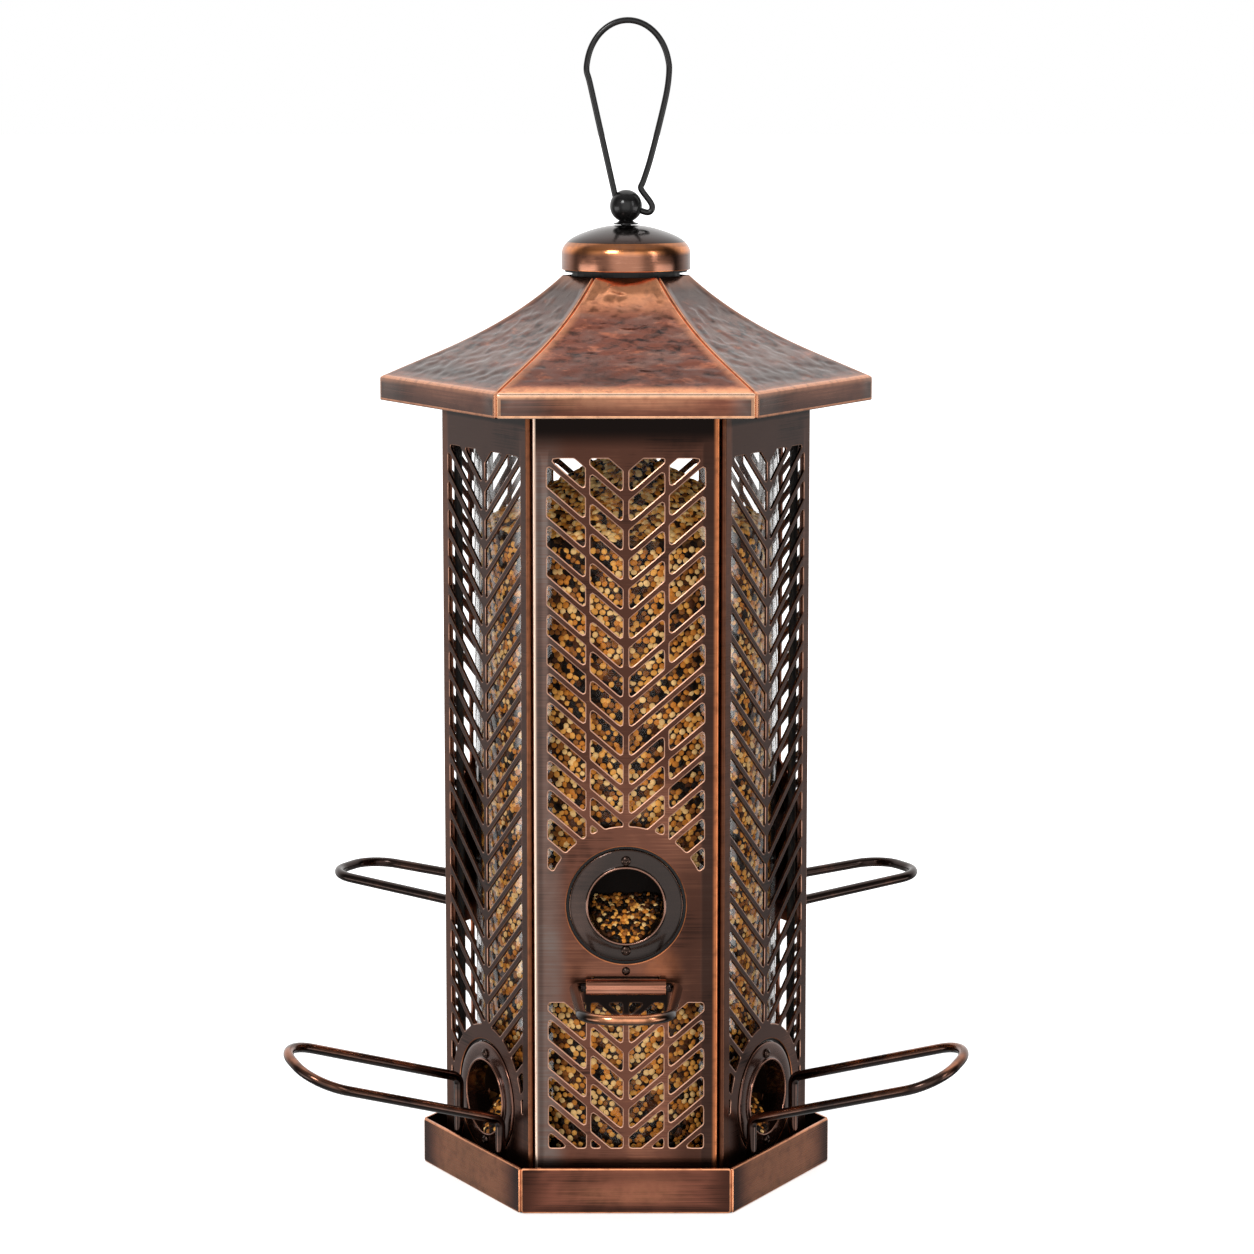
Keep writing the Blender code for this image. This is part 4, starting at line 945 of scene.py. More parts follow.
# ------------------------------------------------------------------- ports
def port(k):
    z = UPPER.get(k) or LOWER[k]
    name = FACES[k]
    s = Shape()
    lip, face, back, end = -62.888, -61.788, -60.188, -53.5
    profile = [(14.1, -62.0), (14.1, -62.5)]
    profile += [(14.5 + x, lip + 0.4 + y) for x, y in arc(0, 0, 0.4, 180, 270, 4)]
    profile += [(14.5 + x, lip + 0.4 + y) for x, y in arc(0, 0, 0.4, 270, 360, 4)][1:]
    profile += [(14.9, face - 0.45)]
    profile += [(15.35 + x, face - 0.45 + y) for x, y in arc(0, 0, 0.45, 180, 90, 3)][1:]
    profile += [(16.2, face - 0.05), (17.2, face - 0.09), (18.2, face - 0.10), (19.2, face - 0.08), (20.1, face)]
    profile += [(20.5 + x, face + 0.6 + y) for x, y in arc(0, 0, 0.6, 285, 360, 4)][1:]
    profile += [(21.1, back), (15.0, back), (15.0, end), (14.1, end)]
    count = len(profile)
    rims = [0.9 if 2 <= i <= 9 else (0.4 if 20 <= i <= 22 else 0.0) for i in range(count)]
    lathe(s, profile, 96, "Y", (0, 0, z), rims)
    # hood: a half tube over the seed, closed at its inner end
    steps, dip = 40, 0.14
    angles = [-dip + (math.pi + 2 * dip) * i / steps for i in range(steps + 1)]
    outer, inner, y0, y1 = 14.8, 13.9, -54.8, -40.8
    rows = []
    for r, y in ((inner, y0), (outer, y0), (outer, y1), (0.01, y1), (0.01, y1 - 1.2), (inner, y1 - 1.2), (inner, y0)):
        rows.append([(r * math.cos(a), y, z + (r * math.sin(a) if r > 1 else -1.9)) for a in angles])
    s.grid(rows, index=1)
    # gasket: a black ring in the gap round the flange, also painting the shade in the gap
    lathe(s, [(21.3, -60.5), (22.7, -60.5), (22.7, -60.35), (21.3, -60.35)], 64, "Y", (0, 0, z), index=2)
    s.add("port_ring_" + name, [GUNMETAL if k in UPPER else GUNMETAL_LOW, HOOD, MOULDING], "feeder", ["port_insert_" + name], "gunmetal", turn_of(k), 40, outward=False)
    for side, word in ((1, "top"), (-1, "bottom")):
        screw(k, "port_screw_%s_%s" % (word, name), z + side * 17.0)


def screw(k, node, z):
    """Domed head with a shallow round recess, and its shank."""
    s = Shape()
    head = -61.788 - 0.25
    profile = [(0.001, head - 0.75), (0.45, head - 0.8)]
    profile += [(r, head - 1.2 * math.cos(math.asin(min(1.0, r / 1.95)))) for r in (0.75, 1.0, 1.3, 1.6)]
    profile += [(1.82, head - 0.35), (1.85, head - 0.12), (1.78, head), (0.95, head), (0.95, -55.6), (0.7, -55.3), (0.001, -55.3)]
    lathe(s, profile, 32, "Y", (0, 0, z), closed=False)
    s.add("screw_" + node, [FIXING], "feeder", [node], "dark_fixing", turn_of(k), 40, outward=False)


# ----------------------------------------------------------------- perches
def upper_perch(k):
    z, name = UPPER[k] - 30.2, FACES[k]
    axis_y = FACE_Y - 3.35
    reach = 67.95 - 3.35
    corners = [(-2.5, 0, 0), (-19.3, 0, 0), (-15.4, -reach, reach * 0.063), (15.4, -reach, reach * 0.063), (19.3, 0, 0), (2.5, 0, 0)]
    s = Shape()
    path = rounded_path(corners, (3.4, 12.9, 12.9, 3.4), 14)
    sweep(s, [p + Vector((0, axis_y, z)) for p in path], 1.9, 24)
    s.add("perch_wire_" + name, [WIRE if k == 0 else WIRE_DARK], "perch_" + name, ["perch_" + name], "bronze_wire", turn_of(k), 50, outward=False)

    s = Shape()
    profile = [(2.9, -14.65), (2.9, 14.65)]
    profile += [(2.65 + x, 14.65 + y) for x, y in arc(0, 0, 0.25, 0, 90, 3)][1:]
    profile += [(2.3, 14.9), (2.25, 14.8), (2.25, -14.8), (2.3, -14.9)]
    profile += [(2.65 + x, -14.65 + y) for x, y in arc(0, 0, 0.25, 270, 360, 3)][:-1]
    rims = [1.0 if i in (1, 2, 3, 9, 10, 11) else 0.0 for i in range(len(profile))]
    lathe(s, profile, 48, "X", (0, axis_y, z), rims)
    # the sheet's rolled end shows as a lip under the barrel, and its leaf runs in above it
    top = 2.9
    for y0, y1, z0, z1 in ((0.4, 5.05, top - 0.55, top - 0.1), (4.55, 5.35, top - 0.55, top + 5.2)):
        base = len(s.points)
        x = 12.0
        s.points += [(sx * x, axis_y + y, z + zz) for sx in (-1, 1) for y, zz in ((y0, z0), (y1, z0), (y1, z1), (y0, z1))]
        for a, b, c, d in ((0, 1, 2, 3), (7, 6, 5, 4), (0, 4, 5, 1), (1, 5, 6, 2), (2, 6, 7, 3), (3, 7, 4, 0)):
            s.face((base + a, base + b, base + c, base + d))
    s.add("perch_barrel_" + name, [BARREL], "feeder", ["perch_hinge_" + name], "hinge_copper", turn_of(k), 40, outward=False)

    s = Shape()
    rz = UPPER[k] - 24.9
    head = FACE_Y - 0.25
    profile = [(0.001, head - 0.9), (0.5, head - 0.87), (0.9, head - 0.75), (1.25, head - 0.5), (1.5, head - 0.2), (1.55, head - 0.05), (1.5, head), (0.8, head), (0.8, -59.25), (1.3, -59.25), (1.3, -58.8), (0.001, -58.8)]
    lathe(s, profile, 28, "Y", (0, 0, rz), closed=False)
    s.add("rivet_" + name, [FIXING], "feeder", ["hinge_rivet_" + name], "dark_fixing", turn_of(k), 40, outward=False)


def lower_perch(k):
    name = FACES[k]
    half, foot = 17.0, 3.2
    tilt = half * {1: 0.25, 3: 0.0, 5: -0.25}[k]
    corners = [(-half, -foot, 1.5), (-half, -foot, 34.4 - tilt), (-half, -80.9, 58.7 - tilt), (half, -80.9, 58.7 + tilt), (half, -foot, 34.4 + tilt), (half, -foot, 1.5)]
    s = Shape()
    path = rounded_path(corners, (4.0, 15.5, 15.5, 4.0), 16)
    sweep(s, [p + Vector((0, FACE_Y, 0)) for p in path], 1.9, 24)
    s.add("perch_wire_" + name, [WIRE_LOW], "perch_" + name, ["perch_" + name], "bronze_wire", turn_of(k), 50, outward=False)


# -------------------------------------------------------------------- tray
def tray():
    outer, height, wall, floor = 79.36 * C30, 17.3, 1.0, 1.2
    s = Shape()
    for k in range(6):
        half = outer * T30 - 0.42
        c, s60 = math.cos(turn_of(k)), math.sin(turn_of(k))

        def put(u, v, w, c=c, s60=s60):
            x, y = u, -outer + w
            return (x * c - y * s60, x * s60 + y * c, v)

        outline = filleted([(-half, 0.0), (half, 0.0), (half, height), (-half, height)], 1.3, 5)
        inset = grown(outline, -0.58)
        points, tris = triangulated(inset, [])
        a = len(s.points)
        s.points += [put(u, v, 0.0) for u, v in points]
        for t in tris:
            s.face([a + i for i in t])
        n = len(outline)
        a = len(s.points)
        s.points += [put(u, v, 0.0) for u, v in inset] + [put(u, v, 0.13) for u, v in grown(outline, -0.10)]
        s.points += [put(u, v, 0.32) for u, v in outline] + [put(u, v, wall) for u, v in outline]
        for i in range(n):
            j = (i + 1) % n
            s.face((a + i, a + j, a + n + j, a + n + i), 0, 1.0)
            s.face((a + n + i, a + n + j, a + 2 * n + j, a + 2 * n + i), 0, 1.0)
            s.face((a + 2 * n + i, a + 2 * n + j, a + 3 * n + j, a + 3 * n + i), 0, 0.7)
        points, tris = triangulated(outline, [])
        a = len(s.points)
        s.points += [put(u, v, wall) for u, v in points]
        for t in tris:
            s.face([a + i for i in reversed(t)], 1)
    # the floor plate, drilled, under all six walls
    plate = [(((outer - 0.7) / C30) * math.cos(math.radians(60 * i)), ((outer - 0.7) / C30) * math.sin(math.radians(60 * i))) for i in range(6)]
    holes = []
    for k in (0, 2, 4):
        for side in (-1, 1):
            p = Matrix.Rotation(turn_of(k), 2) @ Vector((side * 22.0, -64.9))
            holes.append([(p.x + 1.6 * math.cos(math.pi * i / 8), p.y + 1.6 * math.sin(math.pi * i / 8)) for i in range(16)])
    pierced(s, plate, holes, floor - 0.1, lambda u, v, w: (u, v, floor - w), 0.15, 1)
    a = len(s.points)
    s.points += [(x, y, zz) for zz in (0.1, floor) for x, y in plate]
    for i in range(6):
        j = (i + 1) % 6
        s.face((a + i, a + j, a + 6 + j, a + 6 + i), 1)
    for k in (1, 3, 5):
        for side in (-1, 1):
            p = Matrix.Rotation(turn_of(k), 2) @ Vector((side * 17.0, FACE_Y - 3.2))
            profile = [(2.2, 1.1), (2.2, 11.3), (2.35, 11.5), (2.7, 11.5), (2.85, 11.3), (2.85, 1.0)]
            lathe(s, profile, 28, "Z", (p.x, p.y, 0), [0, 0.6, 0.6, 0.6, 0, 0], 1)
    s.add("tray_detailed", [TRAY, TRAY_INSIDE], "feeder", ["base_tray"], "tray_copper", 0.0, 30, outward=False)


# -------------------------------------------------------------------- roof
ROOF_TOP_R, ROOF_EDGE_R, ROOF_TOP_Z, ROOF_EDGE_Z, FASCIA_Z = 23.1, 93.9, 347.3, 307.6, 298.8


def roof_height(apothem):
    u = (apothem / C30 - ROOF_TOP_R) / (ROOF_EDGE_R - ROOF_TOP_R)
    drop = u + u * (1 - u) * (0.65 - 0.45 * u)
    return ROOF_TOP_Z - (ROOF_TOP_Z - ROOF_EDGE_Z) * drop


def roof_panel(k):
    edge, seam, sheet = ROOF_EDGE_R * C30, 0.45, 0.9
    name = FACES[k]
    own = np.random.default_rng(100 + k)
    start = 21.2
    stations = list(np.linspace(start, edge - 1.75, 84))
    line = []                                     # (q, z, outward normal, hammered share, rim)
    for q in stations:
        slope = (roof_height(q + 0.01) - roof_height(q - 0.01)) / 0.02
        length = math.hypot(1, slope)
        share = min(1.0, (q - start) / 5.0) * min(1.0, (edge - 2.6 - q) / 5.0)
        line.append((q, roof_height(q), (-slope / length, 1 / length), max(0.0, share), 0.0))
    q0, z0, normal = line[-1][0], line[-1][1], line[-1][2]
    a0 = math.degrees(math.atan2(normal[1], normal[0]))
    r = 1.3
    centre = (q0 - normal[0] * r, z0 - normal[1] * r)
    shift = edge - (centre[0] + r)
    for i in range(1, 9):
        a = math.radians(a0 + (0 - a0) * i / 8)
        line.append((centre[0] + r * math.cos(a) + shift * i / 8, centre[1] + r * math.sin(a), (math.cos(a), math.sin(a)), 0.0, 1.0 if 1 <= i <= 7 else 0.5))
    for zz, rim in ((305.8, 0.0), (302.5, 0.0), (299.8, 0.0), (299.25, 0.9)):
        line.append((edge, zz, (1, 0), 0.0, rim))
    for i in range(1, 5):
        a = math.radians(-90 * i / 4)
        line.append((edge - 0.45 + 0.45 * math.cos(a), FASCIA_Z + 0.45 + 0.45 * math.sin(a), (math.cos(a), math.sin(a)), 0.0, 1.0))
    line.append((edge - sheet, FASCIA_Z, (0, -1), 0.0, 0.3))
    # hammer marks: shallow round dents, denser than their own width
    marks = []
    for _ in range(900):
        q = own.uniform(start, edge)
        half = q * T30
        marks.append((own.uniform(-half, half), q, own.uniform(1.6, 3.2), own.uniform(0.05, 0.17)))
    marks = np.array(marks)
    bend_row = len(stations) + 3
    columns = 96
    s = Shape()
    rows, rims = [], []
    lip = 0.55
    for (q, z, n, share, rim) in line:
        half = q * T30 - seam / C30
        row = []
        xs = [-half + lip + (2 * half - 2 * lip) * i / columns for i in range(columns + 1)]
        push = np.zeros(len(xs))
        if share > 0:
            x = np.array(xs)[:, None]
            d = np.hypot((x - marks[:, 0]) / 1.7, q - marks[:, 1]) / marks[:, 2]
            push = -(marks[:, 3] * np.clip(1 - d * d, 0, None) ** 1.5).sum(1) + 0.14
            fade = np.clip((half - 1.4 - np.abs(np.array(xs))) / 3.0, 0, 1)
            push = np.clip(push, -0.40, 0.0) * share * fade
        for a in (90, 65, 40, 20):
            t = math.radians(a)
            dx, dd = lip * math.sin(t), lip * (1 - math.cos(t)) + (0.45 if a == 90 else 0)
            row.append((-half + lip - dx, -(q - n[0] * dd), z - n[1] * dd))
        for x, h in zip(xs, push):
            row.append((x, -(q + n[0] * h), z + n[1] * h))
        for a in (20, 40, 65, 90):
            t = math.radians(a)
            dx, dd = lip * math.sin(t), lip * (1 - math.cos(t)) + (0.45 if a == 90 else 0)
            row.append((half - lip + dx, -(q - n[0] * dd), z - n[1] * dd))
        rows.append(row)
        rims.append(rim)
    first = len(s.points)
    for row in rows:
        s.points += row
    wide = len(rows[0])
    for r_i in range(len(rows) - 1):
        for c in range(wide - 1):
            side_lip = c < 5 or c >= wide - 6
            value = max(rims[r_i + 1] if rims[r_i + 1] else 0.0, (0.9 if (c < 4 or c >= wide - 5) else 0.35) if side_lip else 0.0)
            s.face((first + r_i * wide + c, first + (r_i + 1) * wide + c, first + (r_i + 1) * wide + c + 1, first + r_i * wide + c + 1), 2 if r_i >= bend_row else 0, value)
    # underside
    under = []
    for (q, z, n, share, rim) in line[:-1:4]:
        half = q * T30 - seam / C30 - 0.02
        under.append([(-half, -(q - n[0] * sheet), z - n[1] * sheet), (half, -(q - n[0] * sheet), z - n[1] * sheet)])
    half = edge * T30 - seam / C30
    under.append([(-half, -(edge - sheet), FASCIA_Z + 0.02), (half, -(edge - sheet), FASCIA_Z + 0.02)])
    s.grid(under, False, 1)
    s.add("roof_sector_" + name, [ROOF if k == 0 else ROOF_SIDE, TRAY_INSIDE, FASCIA if k == 0 else FASCIA_SIDE], "feeder", ["roof_panel_" + name], "hammered_copper", turn_of(k), 40, outward=False)


# ----------------------------------------------------------- cap and hanger
def lid():
    s = Shape()
    wall = [(24.15 + x, 348.55 + y) for x, y in arc(0, 0, 0.25, -90, 0, 4)]
    shoulder = [(24.4, 351.5), (24.4, 354.4), (24.33, 355.2), (24.1, 356.0), (23.7, 356.9), (23.1, 357.8), (22.3, 358.7), (21.2, 359.6), (19.9, 360.4), (18.2, 361.25), (16.0, 362.15), (13.4, 363.05), (10.6, 363.85), (8.0, 364.4), (5.4, 364.78), (3.4, 364.9), (2.25, 364.9)]
    inner = [(2.25, 364.0), (5.3, 363.9), (13.1, 362.2), (19.6, 359.5), (22.6, 357.0), (23.5, 355.0), (23.5, 348.4)]
    profile = [(23.6, 348.3)] + wall + shoulder + inner
    rims = [1.0 if 1 <= i <= 4 else (0.5 if 8 <= i <= 11 else 0.0) for i in range(len(profile))]
    lathe(s, profile, 128, rims=rims)
    s.add("cap_shell", [CAP], "lid", ["cap"], "polished_copper", outward=False)

    s = Shape()
    lathe(s, [(0.001, 350.6), (1.7, 350.6), (1.9, 350.8), (1.9, 365.2), (4.5, 365.2), (4.7, 365.35), (4.65, 365.6), (4.2, 365.75), (3.4, 366.0), (2.6, 366.6), (2.1, 367.4), (1.95, 368.8), (0.001, 368.8)], 48, closed=False)
    s.add("stem_turned", [ENAMEL], "finial", ["finial_stem"], "black_enamel", outward=False)

    ball_z, r = 372.1, 6.1
    s = Shape()
    low = math.asin(2.2 / r)
    profile = [(0.001, 369.1), (2.2, 369.1)] + [(r * math.sin(a), ball_z - r * math.cos(a)) for a in np.linspace(low, math.pi - 0.0005, 28)]
    lathe(s, profile, 56, closed=False)
    ball = s.add("ball_turned", [ENAMEL], "hanger", ["finial_ball"], "black_enamel", outward=True)

    left = [(-3.2, -0.2), (-4.2, 4.3), (-7.33, 18.2), (-10.47, 32.1), (-13.6, 46.0)]
    arch = [(0.7 + 15.5 * math.cos(a), 50.5 + 18.7 * math.sin(a)) for a in np.linspace(math.pi, 0, 15)]
    right = [(15.3, 42.6), (12.4, 30.0), (9.0, 17.0), (6.6, 9.6), (5.6, 7.3), (5.75, 6.2), (6.6, 4.9), (7.9, 3.2), (9.15, 1.5), (9.85, 0.0), (9.75, -1.3), (9.0, -2.2), (7.9, -2.45), (6.6, -2.1), (4.8, -1.5), (3.2, -1.1)]
    points = [Vector((x, 0, z + ball_z)) for x, z in left + arch + right]
    path = catmull(points, 6)
    s = Shape()
    sweep(s, path, 1.15, 20)
    s.add("hanger_loop", [ENAMEL], "hanger", ["hanger_wire"], "black_enamel", outward=False, smooth=60)


def catmull(points, steps):
    out = []
    n = len(points)
    for i in range(n - 1):
        p0, p1, p2, p3 = points[max(0, i - 1)], points[i], points[i + 1], points[min(n - 1, i + 2)]
        for k in range(steps):
            t = k / steps
            out.append(0.5 * ((2 * p1) + (p2 - p0) * t + (2 * p0 - 5 * p1 + 4 * p2 - p3) * t * t + (3 * p1 - p0 - 3 * p2 + p3) * t ** 3))
    out.append(points[-1])
    return out


# ---------------------------------------------------------- tube and seed
def tube():
    s = Shape()
    lathe(s, [(58.0, 1.6), (58.0, 302.0), (57.8, 302.2), (56.5, 302.2), (56.3, 302.0), (56.3, 1.6)], 144)
    obj = s.add("tube_clear", [CLEAR], "feeder", ["seed_tube_lower", "seed_tube_upper"], "clear_plastic", outward=True, smooth=30)
    for k in range(6):
        z = UPPER.get(k) or LOWER[k]
        c = Shape()
        lathe(c, [(0.001, -64), (15.3, -64), (15.3, -50), (0.001, -50)], 64, "Y", (0, 0, z), closed=False)
        mesh = bpy.data.meshes.new("cut")
        mesh.from_pydata([Vector(p) * MM for p in c.points], [], c.faces)
        bm = bmesh.new()
        bm.from_mesh(mesh)
        bmesh.ops.remove_doubles(bm, verts=bm.verts, dist=0.00001)
        bmesh.ops.recalc_face_normals(bm, faces=bm.faces)
        bm.to_mesh(mesh)
        bm.free()
        cutter = bpy.data.objects.new("cut", mesh)
        bpy.context.scene.collection.objects.link(cutter)
        cutter.rotation_euler = (0, 0, turn_of(k))
        cut = obj.modifiers.new("cut", "BOOLEAN")
        cut.operation, cut.solver, cut.object = "DIFFERENCE", "EXACT", cutter
        bpy.context.view_layer.objects.active = obj
        bpy.ops.object.modifier_apply(modifier=cut.name)
        bpy.data.objects.remove(cutter)
    obj.data.shade_smooth()
    obj.data.set_sharp_from_angle(angle=math.radians(30))


class Grains:
    """Low domes, eight-sided, each with its own tint."""

    def __init__(self):
        ring = [(math.cos(math.pi * i / 4), math.sin(math.pi * i / 4)) for i in range(8)]
        self.template = np.array([(x * 1.0, y * 1.0, 0.0) for x, y in ring] + [(x * 0.78, y * 0.78, 0.62) for x, y in ring] + [(0, 0, 1.0)])
        self.tris = [(i, (i + 1) % 8, 8 + (i + 1) % 8, 8 + i) for i in range(8)]
        self.caps = [(8 + i, 8 + (i + 1) % 8, 16) for i in range(8)]
        self.points, self.tints = [], []

    def drop(self, centre, normal, size, stretch, tall, tint, spin):
        n = Vector(normal).normalized()
        a = n.cross(Vector((0.3, 0.2, 0.93))).normalized()
        b = n.cross(a)
        u = a * math.cos(spin) + b * math.sin(spin)
        v = n.cross(u)
        frame_ = np.array([u * size * stretch, v * size, n * tall])
        self.points.append(self.template @ frame_ + np.array(centre))
        self.tints.append(tint)

    def add(self, name, body, turn=0.0):
        count = len(self.points)
        points = np.concatenate(self.points) * MM
        faces = []
        for i in range(count):
            o = 17 * i
            faces += [tuple(o + j for j in f) for f in self.tris]
            faces += [tuple(o + j for j in f) for f in self.caps]
        mesh = bpy.data.meshes.new(name)
        mesh.from_pydata(points.tolist(), [], faces)
        tint = mesh.attributes.new("grain", "FLOAT", "POINT")
        tint.data.foreach_set("value", np.repeat(np.array(self.tints, np.float32), 17))
        mesh.materials.append(SEED)
        mesh.shade_smooth()
        obj = bpy.data.objects.new(name, mesh)
        bpy.context.scene.collection.objects.link(obj)
        return place(obj, body, (), "seed", turn)


def near_port(x, y, z):
    for k, port_z in {**UPPER, **LOWER}.items():
        a = -turn_of(k)
        lx, ly = x * math.cos(a) - y * math.sin(a), x * math.sin(a) + y * math.cos(a)
        if ly < 0 and math.hypot(lx, z - port_z) < 15.4:
            return True
    return False


def seeds():
    radius = 55.15
    row_step, column_step = 2.05, 2.5
    halves = [Grains(), Grains()]
    rows = int((251.5 - 15.8) / row_step)
    for r in range(rows):
        count = int(2 * math.pi * radius / column_step)
        for c in range(count):
            a = 2 * math.pi * (c + (r % 2) * 0.5 + rng.uniform(-0.2, 0.2)) / count
            z = 15.9 + row_step * (r + rng.uniform(-0.25, 0.25))
            x, y = math.cos(a), math.sin(a)
            if near_port(x * radius, y * radius, z):
                continue
            tint = rng.random()
            cluster = math.sin(x * 7 + z * 0.13) + math.sin(y * 9 - z * 0.071 + 2) + math.sin(z * 0.21 + x * 4)
            tint = min(0.999, max(0.0, tint + 0.075 * cluster))
            big = tint < 0.13
            size = rng.uniform(1.45, 1.85) if big else rng.uniform(1.08, 1.4)
            stretch = rng.uniform(1.2, 1.6) if big else rng.uniform(1.0, 1.22)
            depth = rng.uniform(0.0, 0.35)
            normal = (x + rng.uniform(-0.22, 0.22), y + rng.uniform(-0.22, 0.22), rng.uniform(-0.25, 0.25))
            spot = radius - depth
            halves[0 if z < 135 else 1].drop((x * spot, y * spot, z), normal, size, stretch, rng.uniform(0.82, 1.05), tint, rng.uniform(0, math.pi))
    top = Grains()
    for _ in range(2900):
        rr = 54.6 * math.sqrt(rng.random())
        a = rng.uniform(0, 2 * math.pi)
        z = 281.0 - 30.0 * rr / 55.5 + rng.uniform(-0.3, 0.6)
        top.drop((rr * math.cos(a), rr * math.sin(a), z), (0.5 * math.cos(a) + rng.uniform(-0.4, 0.4), 0.5 * math.sin(a) + rng.uniform(-0.4, 0.4), 0.9), rng.uniform(1.1, 1.5), rng.uniform(1.0, 1.3), rng.uniform(0.7, 1.2), rng.random() ** 0.55, rng.uniform(0, 3.1))
    halves[0].add("seed_grains_low", "feeder")
    halves[1].add("seed_grains_high", "feeder")
    top.add("seed_grains_top", "feeder")
    for k in range(6):
        z = UPPER.get(k) or LOWER[k]
        heap = Grains()
        own = np.random.default_rng(50 + k)
        s = Shape()
        rows = []
        for i in range(13):
            t = i / 12
            y, h = -61.3 + 18.6 * t, -13.3 + 13.0 * t ** 0.9
            half = math.sqrt(max(0.5, 13.75 ** 2 - h * h)) if h < -0.3 else 13.5
            rows.append([(half * (j / 5 - 1), y, z + h - 0.5) for j in range(11)])
        s.grid(rows)
        s.add("seed_heap_" + FACES[k], [SEED_SHADE_CORE], "feeder", (), "seed", turn_of(k), outward=False)
        for i in range(18):
            for j in range(20):
                t = (i + own.uniform(-0.3, 0.3)) / 17
                y, h = -61.0 + 18.3 * t, -13.0 + 13.0 * max(0.0, t) ** 0.9
                if h < -13.2:
                    continue
                half = math.sqrt(max(0.3, 13.3 ** 2 - h * h))
                x = -13.2 + 26.4 * (j + 0.5 * (i % 2) + own.uniform(-0.25, 0.25)) / 19
                if abs(x) > half - 0.6:
                    continue
                # The heap's grains lean dark: painted shade under the hood.
                tint = own.random() ** 2.5
                heap.drop((x, y, z + h - 0.55 + own.uniform(-0.15, 0.45)), (own.uniform(-0.35, 0.35), -0.62 + own.uniform(-0.3, 0.3), 0.8), own.uniform(0.85, 1.2), own.uniform(1.0, 1.25), own.uniform(0.75, 1.05), tint, own.uniform(0, 3.1))
        heap.add("seed_heap_grains_" + FACES[k], "feeder", turn_of(k))


# ------------------------------------------------------------------- build
for k in range(6):
    side_panel(k)
    port(k)
    roof_panel(k)
    if k in UPPER:
        upper_perch(k)
    else:
        lower_perch(k)
tray()
lid()
tube()
seeds()


def repaint(nodes, mat):
    for name in nodes:
        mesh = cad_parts[name].data
        mesh.materials.clear()
        mesh.materials.append(mat)


repaint(["seed_fill"], SEED_SHADE_CORE)
repaint(["seed_floor", "roof_frame", "cap_liner"] + [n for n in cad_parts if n.startswith("corner_post")], MOULDING)
repaint(["stem_nut"], FIXING)


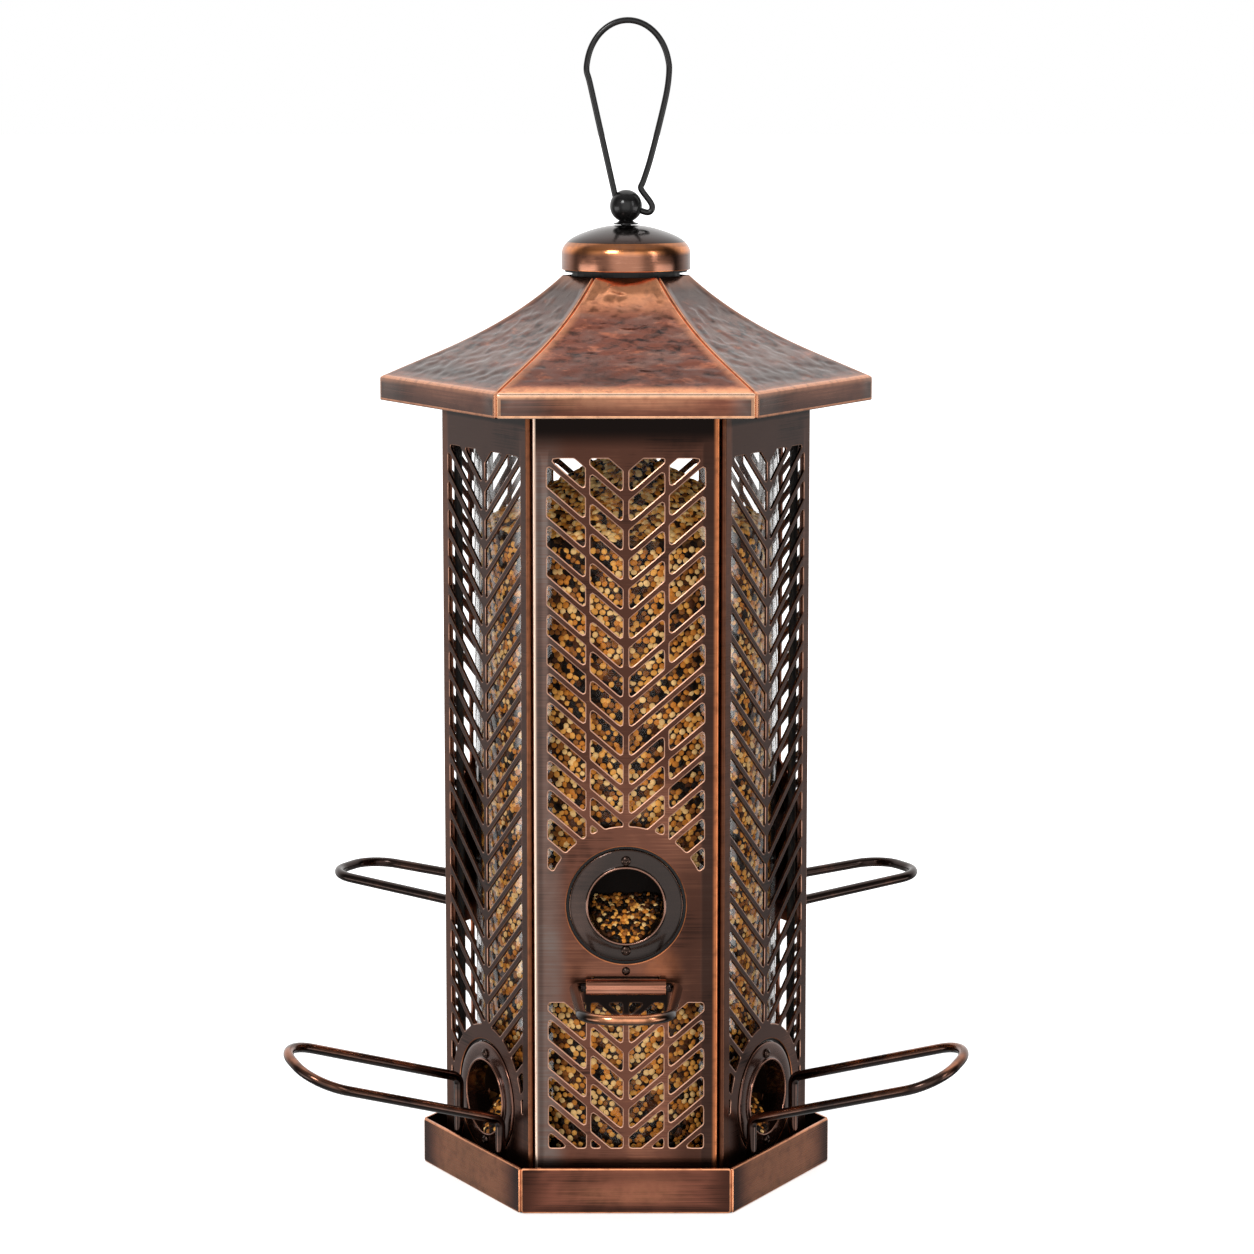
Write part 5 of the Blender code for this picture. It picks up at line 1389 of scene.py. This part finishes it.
# ------------------------------------------------------------ studio stage
def studio():
    g = Graph("studio_floor")
    grain = g.noise(g.where, 14.0, 3.0)
    out = g.math("SQRT", g.math("ADD", g.math("POWER", g.math("ABSOLUTE", g.axis("x")), 2.0), g.math("POWER", g.math("ABSOLUTE", g.axis("y")), 2.0)))
    g.set(Base_Color=g.mix(grain, (0.86, 0.86, 0.86), (0.88, 0.88, 0.88)))
    g.put(g.shader.inputs["Roughness"], 0.9)
    g.put(g.shader.inputs["Emission Color"], (1, 1, 1))
    # The floor glows so that it reads white, a painted light; the glow is weaker near the middle, a painted shade round
    # the feeder.
    g.put(g.shader.inputs["Emission Strength"], g.span(out, 0.10, 0.55, 0.62, 1.05))
    bpy.ops.mesh.primitive_plane_add(size=60, location=(0, 0, -0.0003))
    floor = bpy.context.object
    floor.name = "studio_floor"
    floor.data.materials.append(g.mat)
    floor.visible_glossy = False

    world = bpy.data.worlds.new("studio_world")
    bpy.context.scene.world = world
    world.use_nodes = True
    tree = world.node_tree
    tree.nodes.clear()

    def math_node(operation, *values):
        made = tree.nodes.new("ShaderNodeMath")
        made.operation = operation
        for socket, value in zip(made.inputs, values):
            if isinstance(value, bpy.types.NodeSocket):
                tree.links.new(value, socket)
            else:
                socket.default_value = value
        return made.outputs[0]

    def span(value, low, high, to_low, to_high):
        made = tree.nodes.new("ShaderNodeMapRange")
        made.interpolation_type = "SMOOTHSTEP"
        tree.links.new(value, made.inputs["Value"])
        for key, number in (("From Min", low), ("From Max", high), ("To Min", to_low), ("To Max", to_high)):
            made.inputs[key].default_value = number
        return made.outputs[0]

    out = tree.nodes.new("ShaderNodeOutputWorld")
    seen, lit = tree.nodes.new("ShaderNodeBackground"), tree.nodes.new("ShaderNodeBackground")
    path, mix = tree.nodes.new("ShaderNodeLightPath"), tree.nodes.new("ShaderNodeMixShader")
    seen.inputs[0].default_value, seen.inputs[1].default_value = (1, 1, 1, 1), 1.0
    coord = tree.nodes.new("ShaderNodeTexCoord")
    split = tree.nodes.new("ShaderNodeSeparateXYZ")
    tree.links.new(coord.outputs["Generated"], split.inputs[0])
    x, y, z = split.outputs
    level = math_node("SQRT", math_node("MAXIMUM", math_node("SUBTRACT", 1.0, math_node("MULTIPLY", z, z)), 0.0001))
    toward = math_node("DIVIDE", y, level)
    # a broad soft box round the camera, a pale wall behind, a soft ceiling, dark sides
    front = math_node("MULTIPLY", math_node("ADD", span(toward, -0.12, -0.62, 0.0, FRONT_LIGHT), span(toward, -0.80, -0.96, 0.0, FRONT_STRIP)), math_node("MULTIPLY", span(z, 0.75, 0.35, 0.0, 1.0), span(z, -0.55, -0.25, 0.35, 1.0)))
    behind = math_node("MULTIPLY", span(toward, 0.15, 0.65, 0.0, BACK_LIGHT), span(z, -0.45, 0.05, 0.2, 1.0))
    ceiling = span(z, 0.55, 0.97, 0.0, CEILING_LIGHT)
    flank = span(x, -0.35, -0.95, 0.0, 0.10)
    beside = math_node("MULTIPLY", math_node("MULTIPLY", span(toward, -0.66, -0.50, 0.0, SIDE_LIGHT), span(toward, 0.12, -0.05, 0.0, 1.0)), math_node("MULTIPLY", span(z, -0.055, -0.10, 0.0, 1.0), span(z, -0.50, -0.35, 0.0, 1.0)))
    ground = span(z, -0.60, -0.90, 0.0, GROUND_LIGHT)
    total = math_node("ADD", math_node("ADD", math_node("ADD", front, behind), ground), math_node("ADD", math_node("ADD", ceiling, flank), math_node("ADD", beside, AMBIENT)))
    tree.links.new(total, lit.inputs[1])
    lit.inputs[0].default_value = (1, 0.99, 0.98, 1)
    tree.links.new(path.outputs["Is Camera Ray"], mix.inputs[0])
    tree.links.new(lit.outputs[0], mix.inputs[1])
    tree.links.new(seen.outputs[0], mix.inputs[2])
    tree.links.new(mix.outputs[0], out.inputs[0])

    def area(name, at, size, watts, target=(0, 0, 0.2), colour=(1, 1, 1)):
        light = bpy.data.lights.new(name, "AREA")
        light.shape, light.size, light.size_y = "RECTANGLE", size[0], size[1]
        light.energy, light.color = watts, colour
        obj = bpy.data.objects.new(name, light)
        obj.location = at
        obj.rotation_euler = (Vector(target) - Vector(at)).to_track_quat("-Z", "Y").to_euler()
        bpy.context.scene.collection.objects.link(obj)

    area("key_light", (-0.75, -1.45, 1.35), (0.5, 0.5), 12)
    area("fill_light", (1.25, -1.0, 0.8), (0.25, 0.9), 2.5)


FRONT_LIGHT, FRONT_STRIP, BACK_LIGHT, SIDE_LIGHT, CEILING_LIGHT, GROUND_LIGHT, AMBIENT = 0.42, 0.75, 0.92, 2.4, 0.34, 0.45, 0.035
studio()
